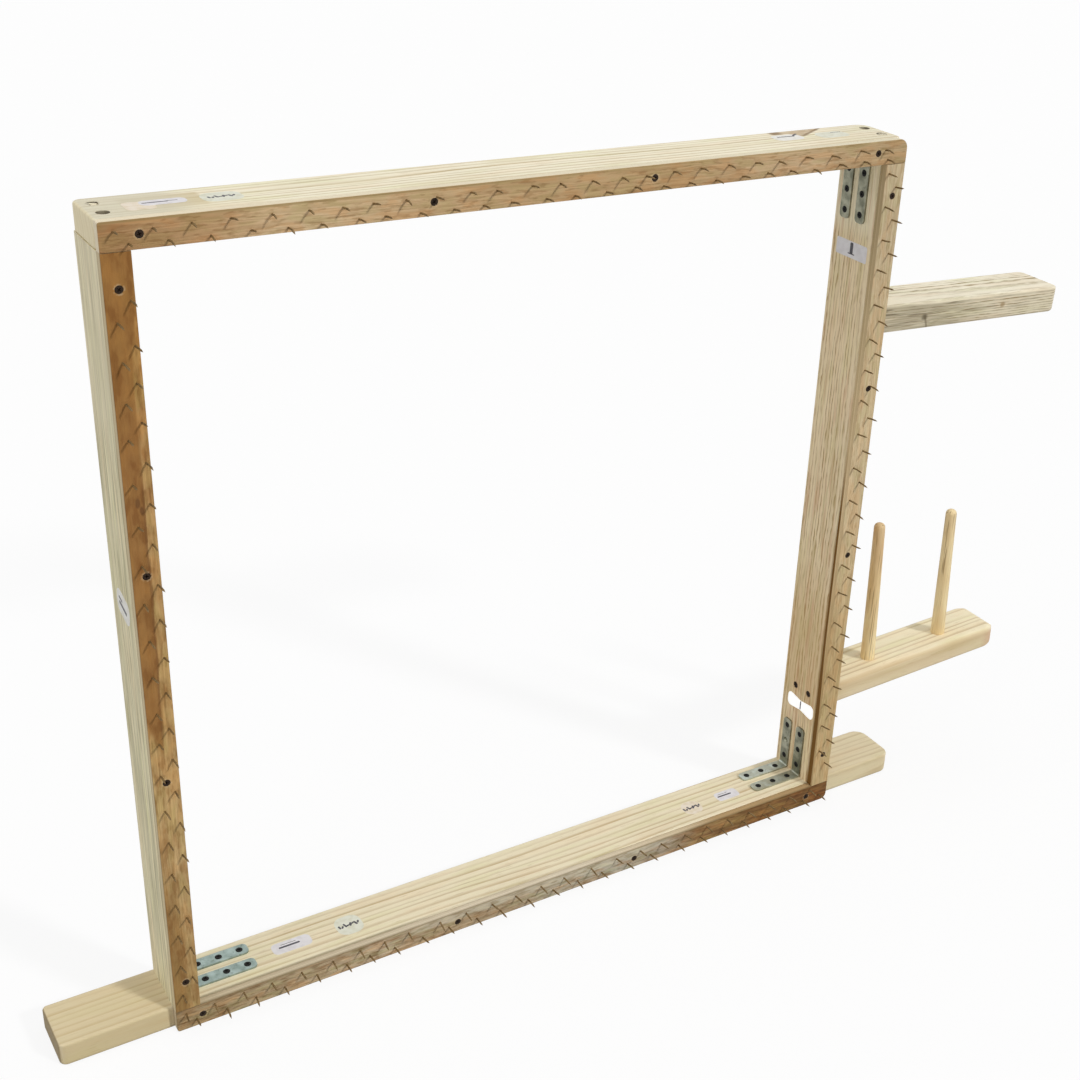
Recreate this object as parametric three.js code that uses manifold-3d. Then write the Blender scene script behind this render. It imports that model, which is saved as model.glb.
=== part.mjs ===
// A tufting frame. Four pine boards stand on edge and butt together, and the bottom one runs past both
// sides as a pair of tabs for clamps. Plywood strips full of nails line the front, so that a cloth can
// be stretched over the opening. A yarn guide arm and a shelf with two spindles stand out on the right.
// Units are millimetres, Z is up, X runs to the right and the nails point along -Y.
import * as THREE from 'three';
import { mergeVertices } from 'three/addons/utils/BufferGeometryUtils.js';
import Module from 'manifold-3d';

const wasm = await Module();
wasm.setup();

// The frame and its boards.
const FRAME_WIDTH = 1000; // over the outer faces of the two stiles
const FRAME_HEIGHT = 1000; // from the underside of the bottom rail to the top of the top rail
const BOARD_THICKNESS = 31; // the four boards of the frame, as seen from the front
const BOARD_DEPTH = 78; // every board, from front to back
const EDGE_ROUND = 3; // eased long edges of the boards
const RAIL_CORNER = 9; // corners of the top rail's ends, seen from above
const CLAMP_TAB = 135; // how far the bottom rail runs past each stile
const TAB_CORNER = 17; // corners of the clamp tabs, seen from above

// The tack strips, which lie flush with the outer faces of the boards.
const STRIP_WIDTH = 30;
const STRIP_THICKNESS = 11;
const STRIP_CORNER = 7; // the frame's four outer corners, on the front of the strips
const STRIP_JOINT = 0.4; // open joint where an upright strip meets the top or bottom strip
const STRIP_EDGE = 0.8; // worn front arris of the plywood

// Two staggered rows of nails in each strip.
const NAIL_ROW_OUTER = 9.5; // from the strip's outer edge
const NAIL_ROW_INNER = 25;
const NAIL_PITCH_ACROSS = 38; // along the top and bottom strips
const NAIL_PITCH_UP = 45.6; // along the upright strips
const NAIL_FIRST = 14; // from a strip's end to its first nail
const NAIL_DIAMETER = 2;
const NAIL_LENGTH = 18; // standing out of the plywood
const NAIL_POINT = 4; // length of the point
const NAIL_LEAN = 5; // degrees, away from the opening
const NAIL_SIDES = 5;

// Countersunk screws, all with the same clearance to their holes.
const SCREW_CLEARANCE = 0.3;
const SCREW_SIDES = 8;
const SCREW_POINT = 4; // length of the point
const HEAD_RIM = 0.5; // upright rim of a countersunk head
const HEAD_SET = 0.4; // a head lies this much under its surface

const STRIP_SCREW = { head: 8.4, shank: 4, length: 32 };
// From the left or top end of each strip's side of the frame, then from its right or bottom end.
const TOP_SCREWS = { first: [39, 348], last: [376, 46] };
const BOTTOM_SCREWS = { first: [32, 377], last: [346, 39] };
const LEFT_SCREWS = { first: [67, 378], last: [361, 72] };
const RIGHT_SCREWS = { first: [71, 331], last: [419, 83] };

const RAIL_SCREW = { head: 9.6, shank: 5, length: 50 };
const RAIL_COUNTERBORE = 14; // diameter
const RAIL_COUNTERBORE_DEPTH = 8;
const RAIL_SCREW_FRONT = 22; // from the front of the board
const RAIL_SCREW_BACK = 56;

// Corner braces, two side by side in each inner corner.
const BRACE_LEG = 83; // from the inner corner to a leg's end
const BRACE_WIDTH = 18;
const BRACE_THICKNESS = 2.5;
const BRACE_BEND = 2; // radius inside the bend
const BRACE_END = 6; // corners of a leg's end
const BRACE_HOLE = 5;
const BRACE_COUNTERSINK = 9;
const BRACE_HOLES = [18, 45, 72]; // from the inner corner
const BRACE_FRONT = 26; // middle of the front brace, from the front of the board
const BRACE_BACK = 56;

// The yarn guide arm, high on the right stile.
const ARM_REACH = 334;
const ARM_THICKNESS = 37;
const ARM_HEIGHT = 758; // its middle, where it meets the stile
const ARM_DROOP = 2.4; // degrees below level
const ARM_CORNER = 14; // corners of its free end, seen from above
const ARM_END_OVER = 5; // rounding of the free end, seen from the front, over and under
const ARM_END_UNDER = 12;
const ARM_EDGE = 4;
const DOWEL_DIAMETER = 8;
const DOWEL_LENGTH = 50;
const DOWEL_IN_STILE = 22;
const DOWEL_CHAMFER = 1;
const DOWEL_CLEARANCE = 0.3;
const DOWEL_SIDES = 10;
const DOWEL_FRONT = 22; // from the front of the board
const DOWEL_BACK = 56;

// The yarn shelf, low on the right stile, and its two spindles.
const SHELF_REACH = 332;
const SHELF_THICKNESS = 35;
const SHELF_HEIGHT = 177; // its middle, where it meets the stile
const SHELF_RISE = 2.6; // degrees above level
const SHELF_CORNER = 28;
const SHELF_END_OVER = 14;
const SHELF_END_UNDER = 17;
const SHELF_EDGE = 7;
const SHELF_SCREW = { head: 9.6, shank: 5, length: 80 };
const SHELF_SCREW_FRONT = 20; // from the front of the board
const SHELF_SCREW_BACK = 50;
const SPINDLE_PLACES = [93, 234]; // from the stile, along the shelf
const SPINDLE_HEIGHTS = [229, 214]; // above the shelf
const SPINDLE_LINE = 35; // from the front of the shelf
const SPINDLE_BASE = 21.5; // diameter at the shelf
const SPINDLE_TOP = 16.4; // diameter under the rounded tip
const SPINDLE_TIP = 7; // length of the rounded tip
const SPINDLE_TENON = 16; // diameter of the part in the shelf
const SPINDLE_TENON_DEPTH = 22;
const SPINDLE_CLEARANCE = 0.3;
const SPINDLE_SIDES = 12;

// Places that follow from the sizes above.
const right = FRAME_WIDTH / 2;
const left = -right;
const front = -BOARD_DEPTH / 2;
const stripFront = front - STRIP_THICKNESS;
const innerRight = right - BOARD_THICKNESS;
const innerTop = FRAME_HEIGHT - BOARD_THICKNESS;
const innerBottom = BOARD_THICKNESS;
const X = new THREE.Vector3(1, 0, 0);
const Y = new THREE.Vector3(0, 1, 0);
const Z = new THREE.Vector3(0, 0, 1);

const pine = { color: 0xdccba4, roughness: 0.75, metalness: 0 };
const plywood = {
  top: { color: 0xb28b60, roughness: 0.8, metalness: 0 },
  bottom: { color: 0x94785a, roughness: 0.8, metalness: 0 },
  left: { color: 0x976b3f, roughness: 0.8, metalness: 0 },
  right: { color: 0xbfa376, roughness: 0.8, metalness: 0 },
};
const zinc = { color: 0xa9b7b8, roughness: 0.35, metalness: 0.9 };
const blackSteel = { color: 0x1c1a19, roughness: 0.45, metalness: 0.6 };
const dowelWood = { color: 0xc9a873, roughness: 0.7, metalness: 0 };

const frame = new THREE.Group();

// Adds a named piece with a material of its own.
function piece(name, solid, look) {
  const mesh = new THREE.Mesh(toGeometry(solid), new THREE.MeshStandardMaterial(look));
  mesh.name = name;
  frame.add(mesh);
  return mesh;
}

// A closed three.js geometry as a solid, with its vertices joined and its empty triangles dropped.
function toSolid(geometry) {
  const bare = new THREE.BufferGeometry();
  bare.setAttribute('position', geometry.getAttribute('position').clone());
  if (geometry.index) {
    bare.setIndex(geometry.index.clone());
  }
  const merged = mergeVertices(bare, 1e-4);
  const corners = merged.index.array;
  const kept = [];
  for (let i = 0; i < corners.length; i += 3) {
    const [a, b, c] = corners.slice(i, i + 3);
    if (a !== b && b !== c && a !== c) {
      kept.push(a, b, c);
    }
  }
  const vertProperties = new Float32Array(merged.getAttribute('position').array);
  const triVerts = new Uint32Array(kept);
  return new wasm.Manifold(new wasm.Mesh({ numProp: 3, vertProperties, triVerts }));
}

// A solid as a three.js geometry with flat faces.
function toGeometry(solid) {
  const mesh = solid.getMesh();
  const geometry = new THREE.BufferGeometry();
  geometry.setAttribute('position', new THREE.BufferAttribute(mesh.vertProperties, 3));
  geometry.setIndex(new THREE.BufferAttribute(mesh.triVerts, 1));
  const flat = geometry.toNonIndexed();
  flat.computeVertexNormals();
  return flat;
}

function moved(geometry, x, y, z) {
  geometry.translate(x, y, z);
  return geometry;
}

// A rectangle with a radius for each corner, anticlockwise from its lower left corner.
function roundedRectangle(x0, y0, x1, y1, radii) {
  const [a, b, c, d] = radii;
  const shape = new THREE.Shape();
  shape.moveTo(x0 + a, y0);
  shape.lineTo(x1 - b, y0);
  if (b > 0) {
    shape.absarc(x1 - b, y0 + b, b, -Math.PI / 2, 0);
  }
  shape.lineTo(x1, y1 - c);
  if (c > 0) {
    shape.absarc(x1 - c, y1 - c, c, 0, Math.PI / 2);
  }
  shape.lineTo(x0 + d, y1);
  if (d > 0) {
    shape.absarc(x0 + d, y1 - d, d, Math.PI / 2, Math.PI);
  }
  shape.lineTo(x0, y0 + a);
  if (a > 0) {
    shape.absarc(x0 + a, y0 + a, a, Math.PI, Math.PI * 1.5);
  }
  return shape;
}

// A shape in plan, made this thick upwards from z = 0, with rounded edges all round.
function easedSlab(shape, thickness, edge, steps) {
  return new THREE.ExtrudeGeometry(shape, {
    depth: thickness - 2 * edge,
    bevelThickness: edge,
    bevelSize: edge,
    bevelOffset: -edge,
    bevelSegments: steps,
    curveSegments: 4,
  }).translate(0, 0, edge);
}

// A turned solid. Its profile runs from the axis to the axis, and its own axis points along +Y.
function turned(points, sides) {
  const profile = points.map(([radius, height]) => new THREE.Vector2(radius, height));
  return new THREE.LatheGeometry(profile, sides);
}

// Turns a solid's own +Y to a direction and puts its origin at a place.
function aimed(geometry, direction, place) {
  const turn = new THREE.Quaternion().setFromUnitVectors(Y, direction);
  return geometry.applyQuaternion(turn).translate(place.x, place.y, place.z);
}

// A countersunk screw. Its own +Y points out of the wood, and y = 0 is the surface it is driven into.
function screwSolid(screw, direction, place) {
  const head = screw.head / 2;
  const shank = screw.shank / 2;
  const under = -HEAD_SET - HEAD_RIM;
  const points = [
    [0, -HEAD_SET - screw.length],
    [shank, -HEAD_SET - screw.length + SCREW_POINT],
    [shank, under - (head - shank)],
    [head, under],
    [head, -HEAD_SET],
    [0, -HEAD_SET],
  ];
  return toSolid(aimed(turned(points, SCREW_SIDES), direction, place));
}

// The hole for that screw, open at the surface, with a wider counterbore above it if one is given.
function screwHole(screw, direction, place, counterbore = 0, bored = 0) {
  const gap = SCREW_CLEARANCE;
  const head = screw.head / 2 + gap;
  const shank = screw.shank / 2 + gap;
  const under = -HEAD_SET - HEAD_RIM;
  const points = [
    [0, -HEAD_SET - screw.length - gap],
    [shank, -HEAD_SET - screw.length - gap],
    [shank, under - (head - shank)],
    [head, under],
  ];
  if (counterbore > 0) {
    points.push([head, 0], [counterbore / 2, 0], [counterbore / 2, bored + 1], [0, bored + 1]);
  } else {
    points.push([head, 1], [0, 1]);
  }
  return toSolid(aimed(turned(points, SCREW_SIDES), direction, place));
}

// Every screw in the frame: which wood it passes through is settled when the boards are cut.
const screws = [];

function addScrew(name, screw, direction, place, counterbore, bored) {
  screws.push({
    name,
    solid: screwSolid(screw, direction, place),
    hole: screwHole(screw, direction, place, counterbore, bored),
  });
}

// Takes the hole of each named screw out of a piece of wood.
function drilled(solid, pattern) {
  let wood = solid;
  for (const screw of screws) {
    if (pattern.test(screw.name)) {
      wood = wood.subtract(screw.hole);
    }
  }
  return wood;
}

// Distances along one side of the frame, given from its two ends.
function stations(screwPlaces, length) {
  return [...screwPlaces.first, ...screwPlaces.last.map((fromEnd) => length - fromEnd)];
}

// The strip screws lie on the middle line of their strips.
const outward = new THREE.Vector3(0, -1, 0);
const stripMiddle = STRIP_WIDTH / 2;
stations(TOP_SCREWS, FRAME_WIDTH).forEach((along, i) => {
  const place = new THREE.Vector3(left + along, stripFront, FRAME_HEIGHT - stripMiddle);
  addScrew(`top_strip_screw_${i + 1}`, STRIP_SCREW, outward, place);
});
stations(BOTTOM_SCREWS, FRAME_WIDTH).forEach((along, i) => {
  const place = new THREE.Vector3(left + along, stripFront, stripMiddle);
  addScrew(`bottom_strip_screw_${i + 1}`, STRIP_SCREW, outward, place);
});
stations(LEFT_SCREWS, FRAME_HEIGHT).forEach((down, i) => {
  const place = new THREE.Vector3(left + stripMiddle, stripFront, FRAME_HEIGHT - down);
  addScrew(`left_strip_screw_${i + 1}`, STRIP_SCREW, outward, place);
});
stations(RIGHT_SCREWS, FRAME_HEIGHT).forEach((down, i) => {
  const place = new THREE.Vector3(right - stripMiddle, stripFront, FRAME_HEIGHT - down);
  addScrew(`right_strip_screw_${i + 1}`, STRIP_SCREW, outward, place);
});

// Two long screws hold each end of a rail to its stile, with their heads sunk in counterbores.
const stileMiddle = right - BOARD_THICKNESS / 2;
for (const [side, x] of [['left', -stileMiddle], ['right', stileMiddle]]) {
  for (const [row, fromFront] of [['front', RAIL_SCREW_FRONT], ['back', RAIL_SCREW_BACK]]) {
    const y = front + fromFront;
    const floor = RAIL_COUNTERBORE_DEPTH;
    const above = new THREE.Vector3(x, y, FRAME_HEIGHT - floor);
    const below = new THREE.Vector3(x, y, floor);
    const bore = [RAIL_COUNTERBORE, floor];
    addScrew(`top_rail_screw_${side}_${row}`, RAIL_SCREW, Z, above, ...bore);
    addScrew(`bottom_rail_screw_${side}_${row}`, RAIL_SCREW, Z.clone().negate(), below, ...bore);
  }
}

// The shelf's screws pass through the right stile from its inner face.
for (const [row, fromFront] of [['front', SHELF_SCREW_FRONT], ['back', SHELF_SCREW_BACK]]) {
  const place = new THREE.Vector3(innerRight, front + fromFront, SHELF_HEIGHT);
  addScrew(`yarn_shelf_screw_${row}`, SHELF_SCREW, X.clone().negate(), place);
}

// A glued dowel with chamfered ends, or the blind hole that it fits.
function dowel(y, gap) {
  const r = DOWEL_DIAMETER / 2 + gap;
  const from = -DOWEL_IN_STILE - gap;
  const to = DOWEL_LENGTH - DOWEL_IN_STILE + gap;
  const tip = r - DOWEL_CHAMFER;
  const points = [
    [0, from],
    [tip, from],
    [r, from + DOWEL_CHAMFER],
    [r, to - DOWEL_CHAMFER],
    [tip, to],
    [0, to],
  ];
  return toSolid(aimed(turned(points, DOWEL_SIDES), X, new THREE.Vector3(right, y, ARM_HEIGHT)));
}

const dowelRows = [['front', front + DOWEL_FRONT], ['back', front + DOWEL_BACK]];

// The rails lie flat, so their rounded outline is drawn in plan. The stiles stand between them.
function rail(halfLength, corner, floor) {
  const radii = [corner, corner, corner, corner];
  const plan = roundedRectangle(-halfLength, front, halfLength, -front, radii);
  return toSolid(moved(easedSlab(plan, BOARD_THICKNESS, EDGE_ROUND, 2), 0, 0, floor));
}

function stile(x0) {
  const r = EDGE_ROUND;
  const section = roundedRectangle(x0, front, x0 + BOARD_THICKNESS, -front, [r, r, r, r]);
  const height = innerTop - innerBottom;
  const upright = new THREE.ExtrudeGeometry(section, {
    depth: height,
    bevelEnabled: false,
    curveSegments: 3,
  });
  return toSolid(moved(upright, 0, 0, innerBottom));
}

const topRail = rail(right, RAIL_CORNER, innerTop);
const bottomRail = rail(right + CLAMP_TAB, TAB_CORNER, 0);
piece('top_rail', drilled(topRail, /^top_(strip|rail)_screw/), pine);
piece('bottom_rail', drilled(bottomRail, /^bottom_(strip|rail)_screw/), pine);
piece('left_stile', drilled(stile(left), /^left_strip_screw|_rail_screw_left/), pine);

let rightStile = drilled(stile(innerRight), /^right_strip_screw|_rail_screw_right|^yarn_shelf/);
for (const [, y] of dowelRows) {
  rightStile = rightStile.subtract(dowel(y, DOWEL_CLEARANCE));
}
piece('right_stile', rightStile, pine);

// A nail: a straight shank, sunk in the plywood, and a point. Its own +Y is its direction.
function nail() {
  const r = NAIL_DIAMETER / 2;
  const points = [
    [0, -STRIP_THICKNESS / 2],
    [r, -STRIP_THICKNESS / 2],
    [r, NAIL_LENGTH - NAIL_POINT],
    [0, NAIL_LENGTH],
  ];
  return turned(points, NAIL_SIDES);
}

// A strip of plywood, drawn in a frame of its own: along +X, with its outer edge at y = 0, its inner
// edge at y = -STRIP_WIDTH and its front at z = 0. The nails stand up along +Z and lean to the outside.
function tackStrip(length, pitch, cornerLeft, cornerRight) {
  const radii = [0, 0, cornerRight, cornerLeft];
  const outline = roundedRectangle(0, -STRIP_WIDTH, length, 0, radii);
  const board = new THREE.ExtrudeGeometry(outline, {
    depth: STRIP_THICKNESS - STRIP_EDGE,
    bevelThickness: STRIP_EDGE,
    bevelSize: STRIP_EDGE,
    bevelOffset: -STRIP_EDGE,
    bevelSegments: 1,
    curveSegments: 4,
  });
  // Only the front arris is worn, so the bevel at the back is cut off with the plywood's back face.
  const whole = toSolid(moved(board, 0, 0, -STRIP_THICKNESS));
  const back = new THREE.BoxGeometry(length + 2, STRIP_WIDTH + 2, STRIP_THICKNESS);
  const behind = moved(back, length / 2, -STRIP_WIDTH / 2, -STRIP_THICKNESS * 1.5);
  let strip = whole.subtract(toSolid(behind));
  const lean = THREE.MathUtils.degToRad(NAIL_LEAN);
  const direction = new THREE.Vector3(0, Math.sin(lean), Math.cos(lean));
  const nails = Math.floor((length - 2 * NAIL_FIRST - pitch / 2) / pitch) + 1;
  for (const [row, fromEdge] of [NAIL_ROW_OUTER, NAIL_ROW_INNER].entries()) {
    for (let i = 0; i < nails; i += 1) {
      const along = NAIL_FIRST + (i + row / 2) * pitch;
      const place = new THREE.Vector3(along, -fromEdge, 0);
      strip = strip.add(toSolid(aimed(nail(), direction, place)));
    }
  }
  return strip;
}

// Stands a strip on the front of the frame: its own +X goes along, and its own +Y goes outwards.
function onFront(solid, along, outwards, x, z) {
  const m = new THREE.Matrix4().makeBasis(along, outwards, new THREE.Vector3(0, -1, 0));
  m.setPosition(x, stripFront, z);
  const geometry = toGeometry(solid).applyMatrix4(m);
  return toSolid(geometry);
}

const down = Z.clone().negate();
const across = X.clone();
const uprightLength = FRAME_HEIGHT - 2 * STRIP_WIDTH - 2 * STRIP_JOINT;
const acrossStrip = tackStrip(FRAME_WIDTH, NAIL_PITCH_ACROSS, STRIP_CORNER, STRIP_CORNER);
const uprightStrip = tackStrip(uprightLength, NAIL_PITCH_UP, 0, 0);
const strips = {
  top: onFront(acrossStrip, across, Z, left, FRAME_HEIGHT),
  bottom: onFront(acrossStrip, across.clone().negate(), down, right, 0),
  left: onFront(uprightStrip, Z, across.clone().negate(), left, STRIP_WIDTH + STRIP_JOINT),
  right: onFront(uprightStrip, down, across, right, FRAME_HEIGHT - STRIP_WIDTH - STRIP_JOINT),
};
for (const [side, strip] of Object.entries(strips)) {
  piece(`${side}_tack_strip`, drilled(strip, new RegExp(`^${side}_strip_screw`)), plywood[side]);
}

for (const screw of screws) {
  piece(screw.name, screw.solid, blackSteel);
}

// One leg of a corner brace, from the bend to its rounded end, lying on z = 0 along +X.
function braceLeg() {
  const half = BRACE_WIDTH / 2;
  const bend = BRACE_THICKNESS + BRACE_BEND;
  const outline = roundedRectangle(bend, -half, BRACE_LEG, half, [0, BRACE_END, BRACE_END, 0]);
  return new THREE.ExtrudeGeometry(outline, {
    depth: BRACE_THICKNESS,
    bevelEnabled: false,
    curveSegments: 3,
  });
}

// A stamped and bent brace. Its outer faces lie on x = 0 and z = 0, and its legs run along +X and +Z.
function cornerBrace() {
  const outer = BRACE_THICKNESS + BRACE_BEND;
  const section = new THREE.Shape();
  section.absarc(outer, outer, outer, Math.PI, Math.PI * 1.5);
  section.absarc(outer, outer, BRACE_BEND, Math.PI * 1.5, Math.PI, true);
  const bend = new THREE.ExtrudeGeometry(section, {
    depth: BRACE_WIDTH,
    bevelEnabled: false,
    curveSegments: 4,
  });
  bend.rotateX(Math.PI / 2).translate(0, BRACE_WIDTH / 2, 0);
  // A turn about the line x = z swaps the two legs.
  const swap = new THREE.Quaternion().setFromAxisAngle(new THREE.Vector3(1, 0, 1).normalize(), Math.PI);
  let brace = toSolid(bend).add(toSolid(braceLeg())).add(toSolid(braceLeg().applyQuaternion(swap)));
  const rim = BRACE_COUNTERSINK / 2;
  const hole = BRACE_HOLE / 2;
  const points = [
    [0, -1],
    [hole, -1],
    [hole, 0],
    [rim, BRACE_THICKNESS],
    [rim, BRACE_THICKNESS + 1],
    [0, BRACE_THICKNESS + 1],
  ];
  for (const along of BRACE_HOLES) {
    for (const [axis, place] of [
      [Z, new THREE.Vector3(along, 0, 0)],
      [X, new THREE.Vector3(0, 0, along)],
    ]) {
      brace = brace.subtract(toSolid(aimed(turned(points, SCREW_SIDES), axis, place)));
    }
  }
  return brace;
}

const brace = cornerBrace();
const corners = [
  ['bottom_left', -innerRight, innerBottom, Z, 0],
  ['bottom_right', innerRight, innerBottom, Z, Math.PI],
  ['top_left', -innerRight, innerTop, X, Math.PI],
  ['top_right', innerRight, innerTop, Y, Math.PI],
];
for (const [corner, x, z, axis, angle] of corners) {
  for (const [row, fromFront] of [['front', BRACE_FRONT], ['back', BRACE_BACK]]) {
    const mesh = piece(`corner_brace_${corner}_${row}`, brace, zinc);
    mesh.position.set(x, front + fromFront, z);
    mesh.quaternion.setFromAxisAngle(axis, angle);
  }
}

// A board that stands out from the right stile. It starts inside the stile, is tilted about the place
// where it meets it, and is then cut to lie flat against the stile's outer face. Its free end is rounded
// twice: by corner in plan, and by over and under in the view from the front.
function outrigger(reach, thickness, middle, tilt, corner, edge, over, under) {
  const spare = thickness;
  const half = thickness / 2;
  const plan = roundedRectangle(-spare, front, reach, -front, [0, corner, corner, 0]);
  const slab = easedSlab(plan, thickness, edge, 2).translate(0, 0, -half);
  const side = roundedRectangle(-spare - 1, -half, reach, half, [0, under, over, 0]);
  const profile = new THREE.ExtrudeGeometry(side, {
    depth: BOARD_DEPTH + 2,
    bevelEnabled: false,
    curveSegments: 3,
  });
  profile.rotateX(Math.PI / 2).translate(0, BOARD_DEPTH / 2 + 1, 0);
  const board = toGeometry(toSolid(slab).intersect(toSolid(profile)));
  board.rotateY(THREE.MathUtils.degToRad(-tilt)).translate(right, 0, middle);
  const cut = 4 * spare;
  const waste = new THREE.BoxGeometry(cut, 2 * BOARD_DEPTH, 2 * cut).translate(right - cut / 2, 0, middle);
  return toSolid(board).subtract(toSolid(waste));
}

let arm = outrigger(
  ARM_REACH, ARM_THICKNESS, ARM_HEIGHT, -ARM_DROOP, ARM_CORNER, ARM_EDGE, ARM_END_OVER, ARM_END_UNDER,
);
for (const [row, y] of dowelRows) {
  arm = arm.subtract(dowel(y, DOWEL_CLEARANCE));
  piece(`guide_arm_dowel_${row}`, dowel(y, 0), dowelWood);
}
piece('yarn_guide_arm', arm, pine);

// A spindle, turned to a taper with a rounded tip, and its tenon below y = 0, or the hole for it.
function spindle(height) {
  const base = SPINDLE_BASE / 2;
  const top = SPINDLE_TOP / 2;
  const tenon = SPINDLE_TENON / 2;
  const points = [
    [0, -SPINDLE_TENON_DEPTH],
    [tenon, -SPINDLE_TENON_DEPTH],
    [tenon, 0],
    [base, 0],
    [base - 1, height * 0.06],
    [top, height - SPINDLE_TIP],
  ];
  for (let step = 1; step <= 3; step += 1) {
    const turn = (step / 3) * (Math.PI / 2);
    const radius = step < 3 ? top * Math.cos(turn) : 0;
    points.push([radius, height - SPINDLE_TIP + SPINDLE_TIP * Math.sin(turn)]);
  }
  return turned(points, SPINDLE_SIDES);
}

function spindleHole() {
  const r = SPINDLE_TENON / 2 + SPINDLE_CLEARANCE;
  const depth = -SPINDLE_TENON_DEPTH - SPINDLE_CLEARANCE;
  return turned([[0, depth], [r, depth], [r, 1], [0, 1]], SPINDLE_SIDES);
}

const rise = THREE.MathUtils.degToRad(SHELF_RISE);
const shelfUp = new THREE.Vector3(-Math.sin(rise), 0, Math.cos(rise));
const shelfAlong = new THREE.Vector3(Math.cos(rise), 0, Math.sin(rise));
let shelf = outrigger(
  SHELF_REACH, SHELF_THICKNESS, SHELF_HEIGHT, SHELF_RISE, SHELF_CORNER, SHELF_EDGE,
  SHELF_END_OVER, SHELF_END_UNDER,
);
shelf = drilled(shelf, /^yarn_shelf_screw/);
SPINDLE_PLACES.forEach((along, i) => {
  const foot = new THREE.Vector3(right, front + SPINDLE_LINE, SHELF_HEIGHT);
  foot.addScaledVector(shelfAlong, along).addScaledVector(shelfUp, SHELF_THICKNESS / 2);
  shelf = shelf.subtract(toSolid(aimed(spindleHole(), shelfUp, foot)));
  const name = i === 0 ? 'yarn_spindle_inner' : 'yarn_spindle_outer';
  piece(name, toSolid(aimed(spindle(SPINDLE_HEIGHTS[i]), shelfUp, foot)), dowelWood);
});
piece('yarn_shelf', shelf, pine);

export default frame;
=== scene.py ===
# A tufting frame. Four pine boards stand on edge, plywood strips full of nails line their fronts, and an
# arm and a shelf for the yarn stand out on the right. Shapes are worked in millimetres and kept in metres.
import math
import random

import bmesh
import bpy
from mathutils import Matrix, Vector


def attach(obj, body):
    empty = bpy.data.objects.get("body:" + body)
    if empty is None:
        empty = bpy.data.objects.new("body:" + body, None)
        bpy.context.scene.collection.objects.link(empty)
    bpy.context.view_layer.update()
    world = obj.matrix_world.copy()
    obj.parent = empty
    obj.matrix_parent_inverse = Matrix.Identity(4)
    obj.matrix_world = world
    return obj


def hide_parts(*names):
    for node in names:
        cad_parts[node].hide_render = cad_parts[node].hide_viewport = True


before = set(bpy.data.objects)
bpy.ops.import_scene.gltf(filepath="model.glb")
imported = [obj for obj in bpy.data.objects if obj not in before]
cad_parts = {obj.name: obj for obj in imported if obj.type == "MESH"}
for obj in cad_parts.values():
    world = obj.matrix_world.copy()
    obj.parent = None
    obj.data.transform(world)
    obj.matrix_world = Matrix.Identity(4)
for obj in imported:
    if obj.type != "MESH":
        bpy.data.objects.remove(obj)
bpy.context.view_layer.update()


# The bottom rail. A planed pine board that lies flat under both stiles and runs out to the sides as two
# tabs for clamps, with well rounded corners. Two long screws come up through it at each end.
class Wire:
    """A number in a finish, so that shader maths can be written as a plain sum."""

    def __init__(self, finish, socket):
        self.finish, self.socket = finish, socket

    def sum(self, operation, first, second=0.0):
        return self.finish.add("ShaderNodeMath", {"operation": operation}, {0: first, 1: second})

    def __add__(self, other):
        return self.sum("ADD", self, other)

    def __sub__(self, other):
        return self.sum("SUBTRACT", self, other)

    def __rsub__(self, other):
        return self.sum("SUBTRACT", other, self)

    def __mul__(self, other):
        return self.sum("MULTIPLY", self, other)

    def __truediv__(self, other):
        return self.sum("DIVIDE", self, other)

    def __pow__(self, other):
        return self.sum("POWER", self, other)

    def __abs__(self):
        return self.sum("ABSOLUTE", self)

    def least(self, other):
        return self.sum("MINIMUM", self, other)

    def most(self, other):
        return self.sum("MAXIMUM", self, other)

    def part(self):
        return self.sum("FRACT", self)

    def whole(self):
        return self.sum("FLOOR", self)

    def rise(self, low, high):
        """0 below the low value and 1 above the high one, with a soft step between."""
        ends = {"Value": self, "From Min": low, "From Max": high}
        return self.finish.add("ShaderNodeMapRange", {"interpolation_type": "SMOOTHSTEP"}, ends)

    def fall(self, low, high):
        """1 below the low value and 0 above the high one."""
        return 1 - self.rise(low, high)

    __radd__ = __add__
    __rmul__ = __mul__


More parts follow.
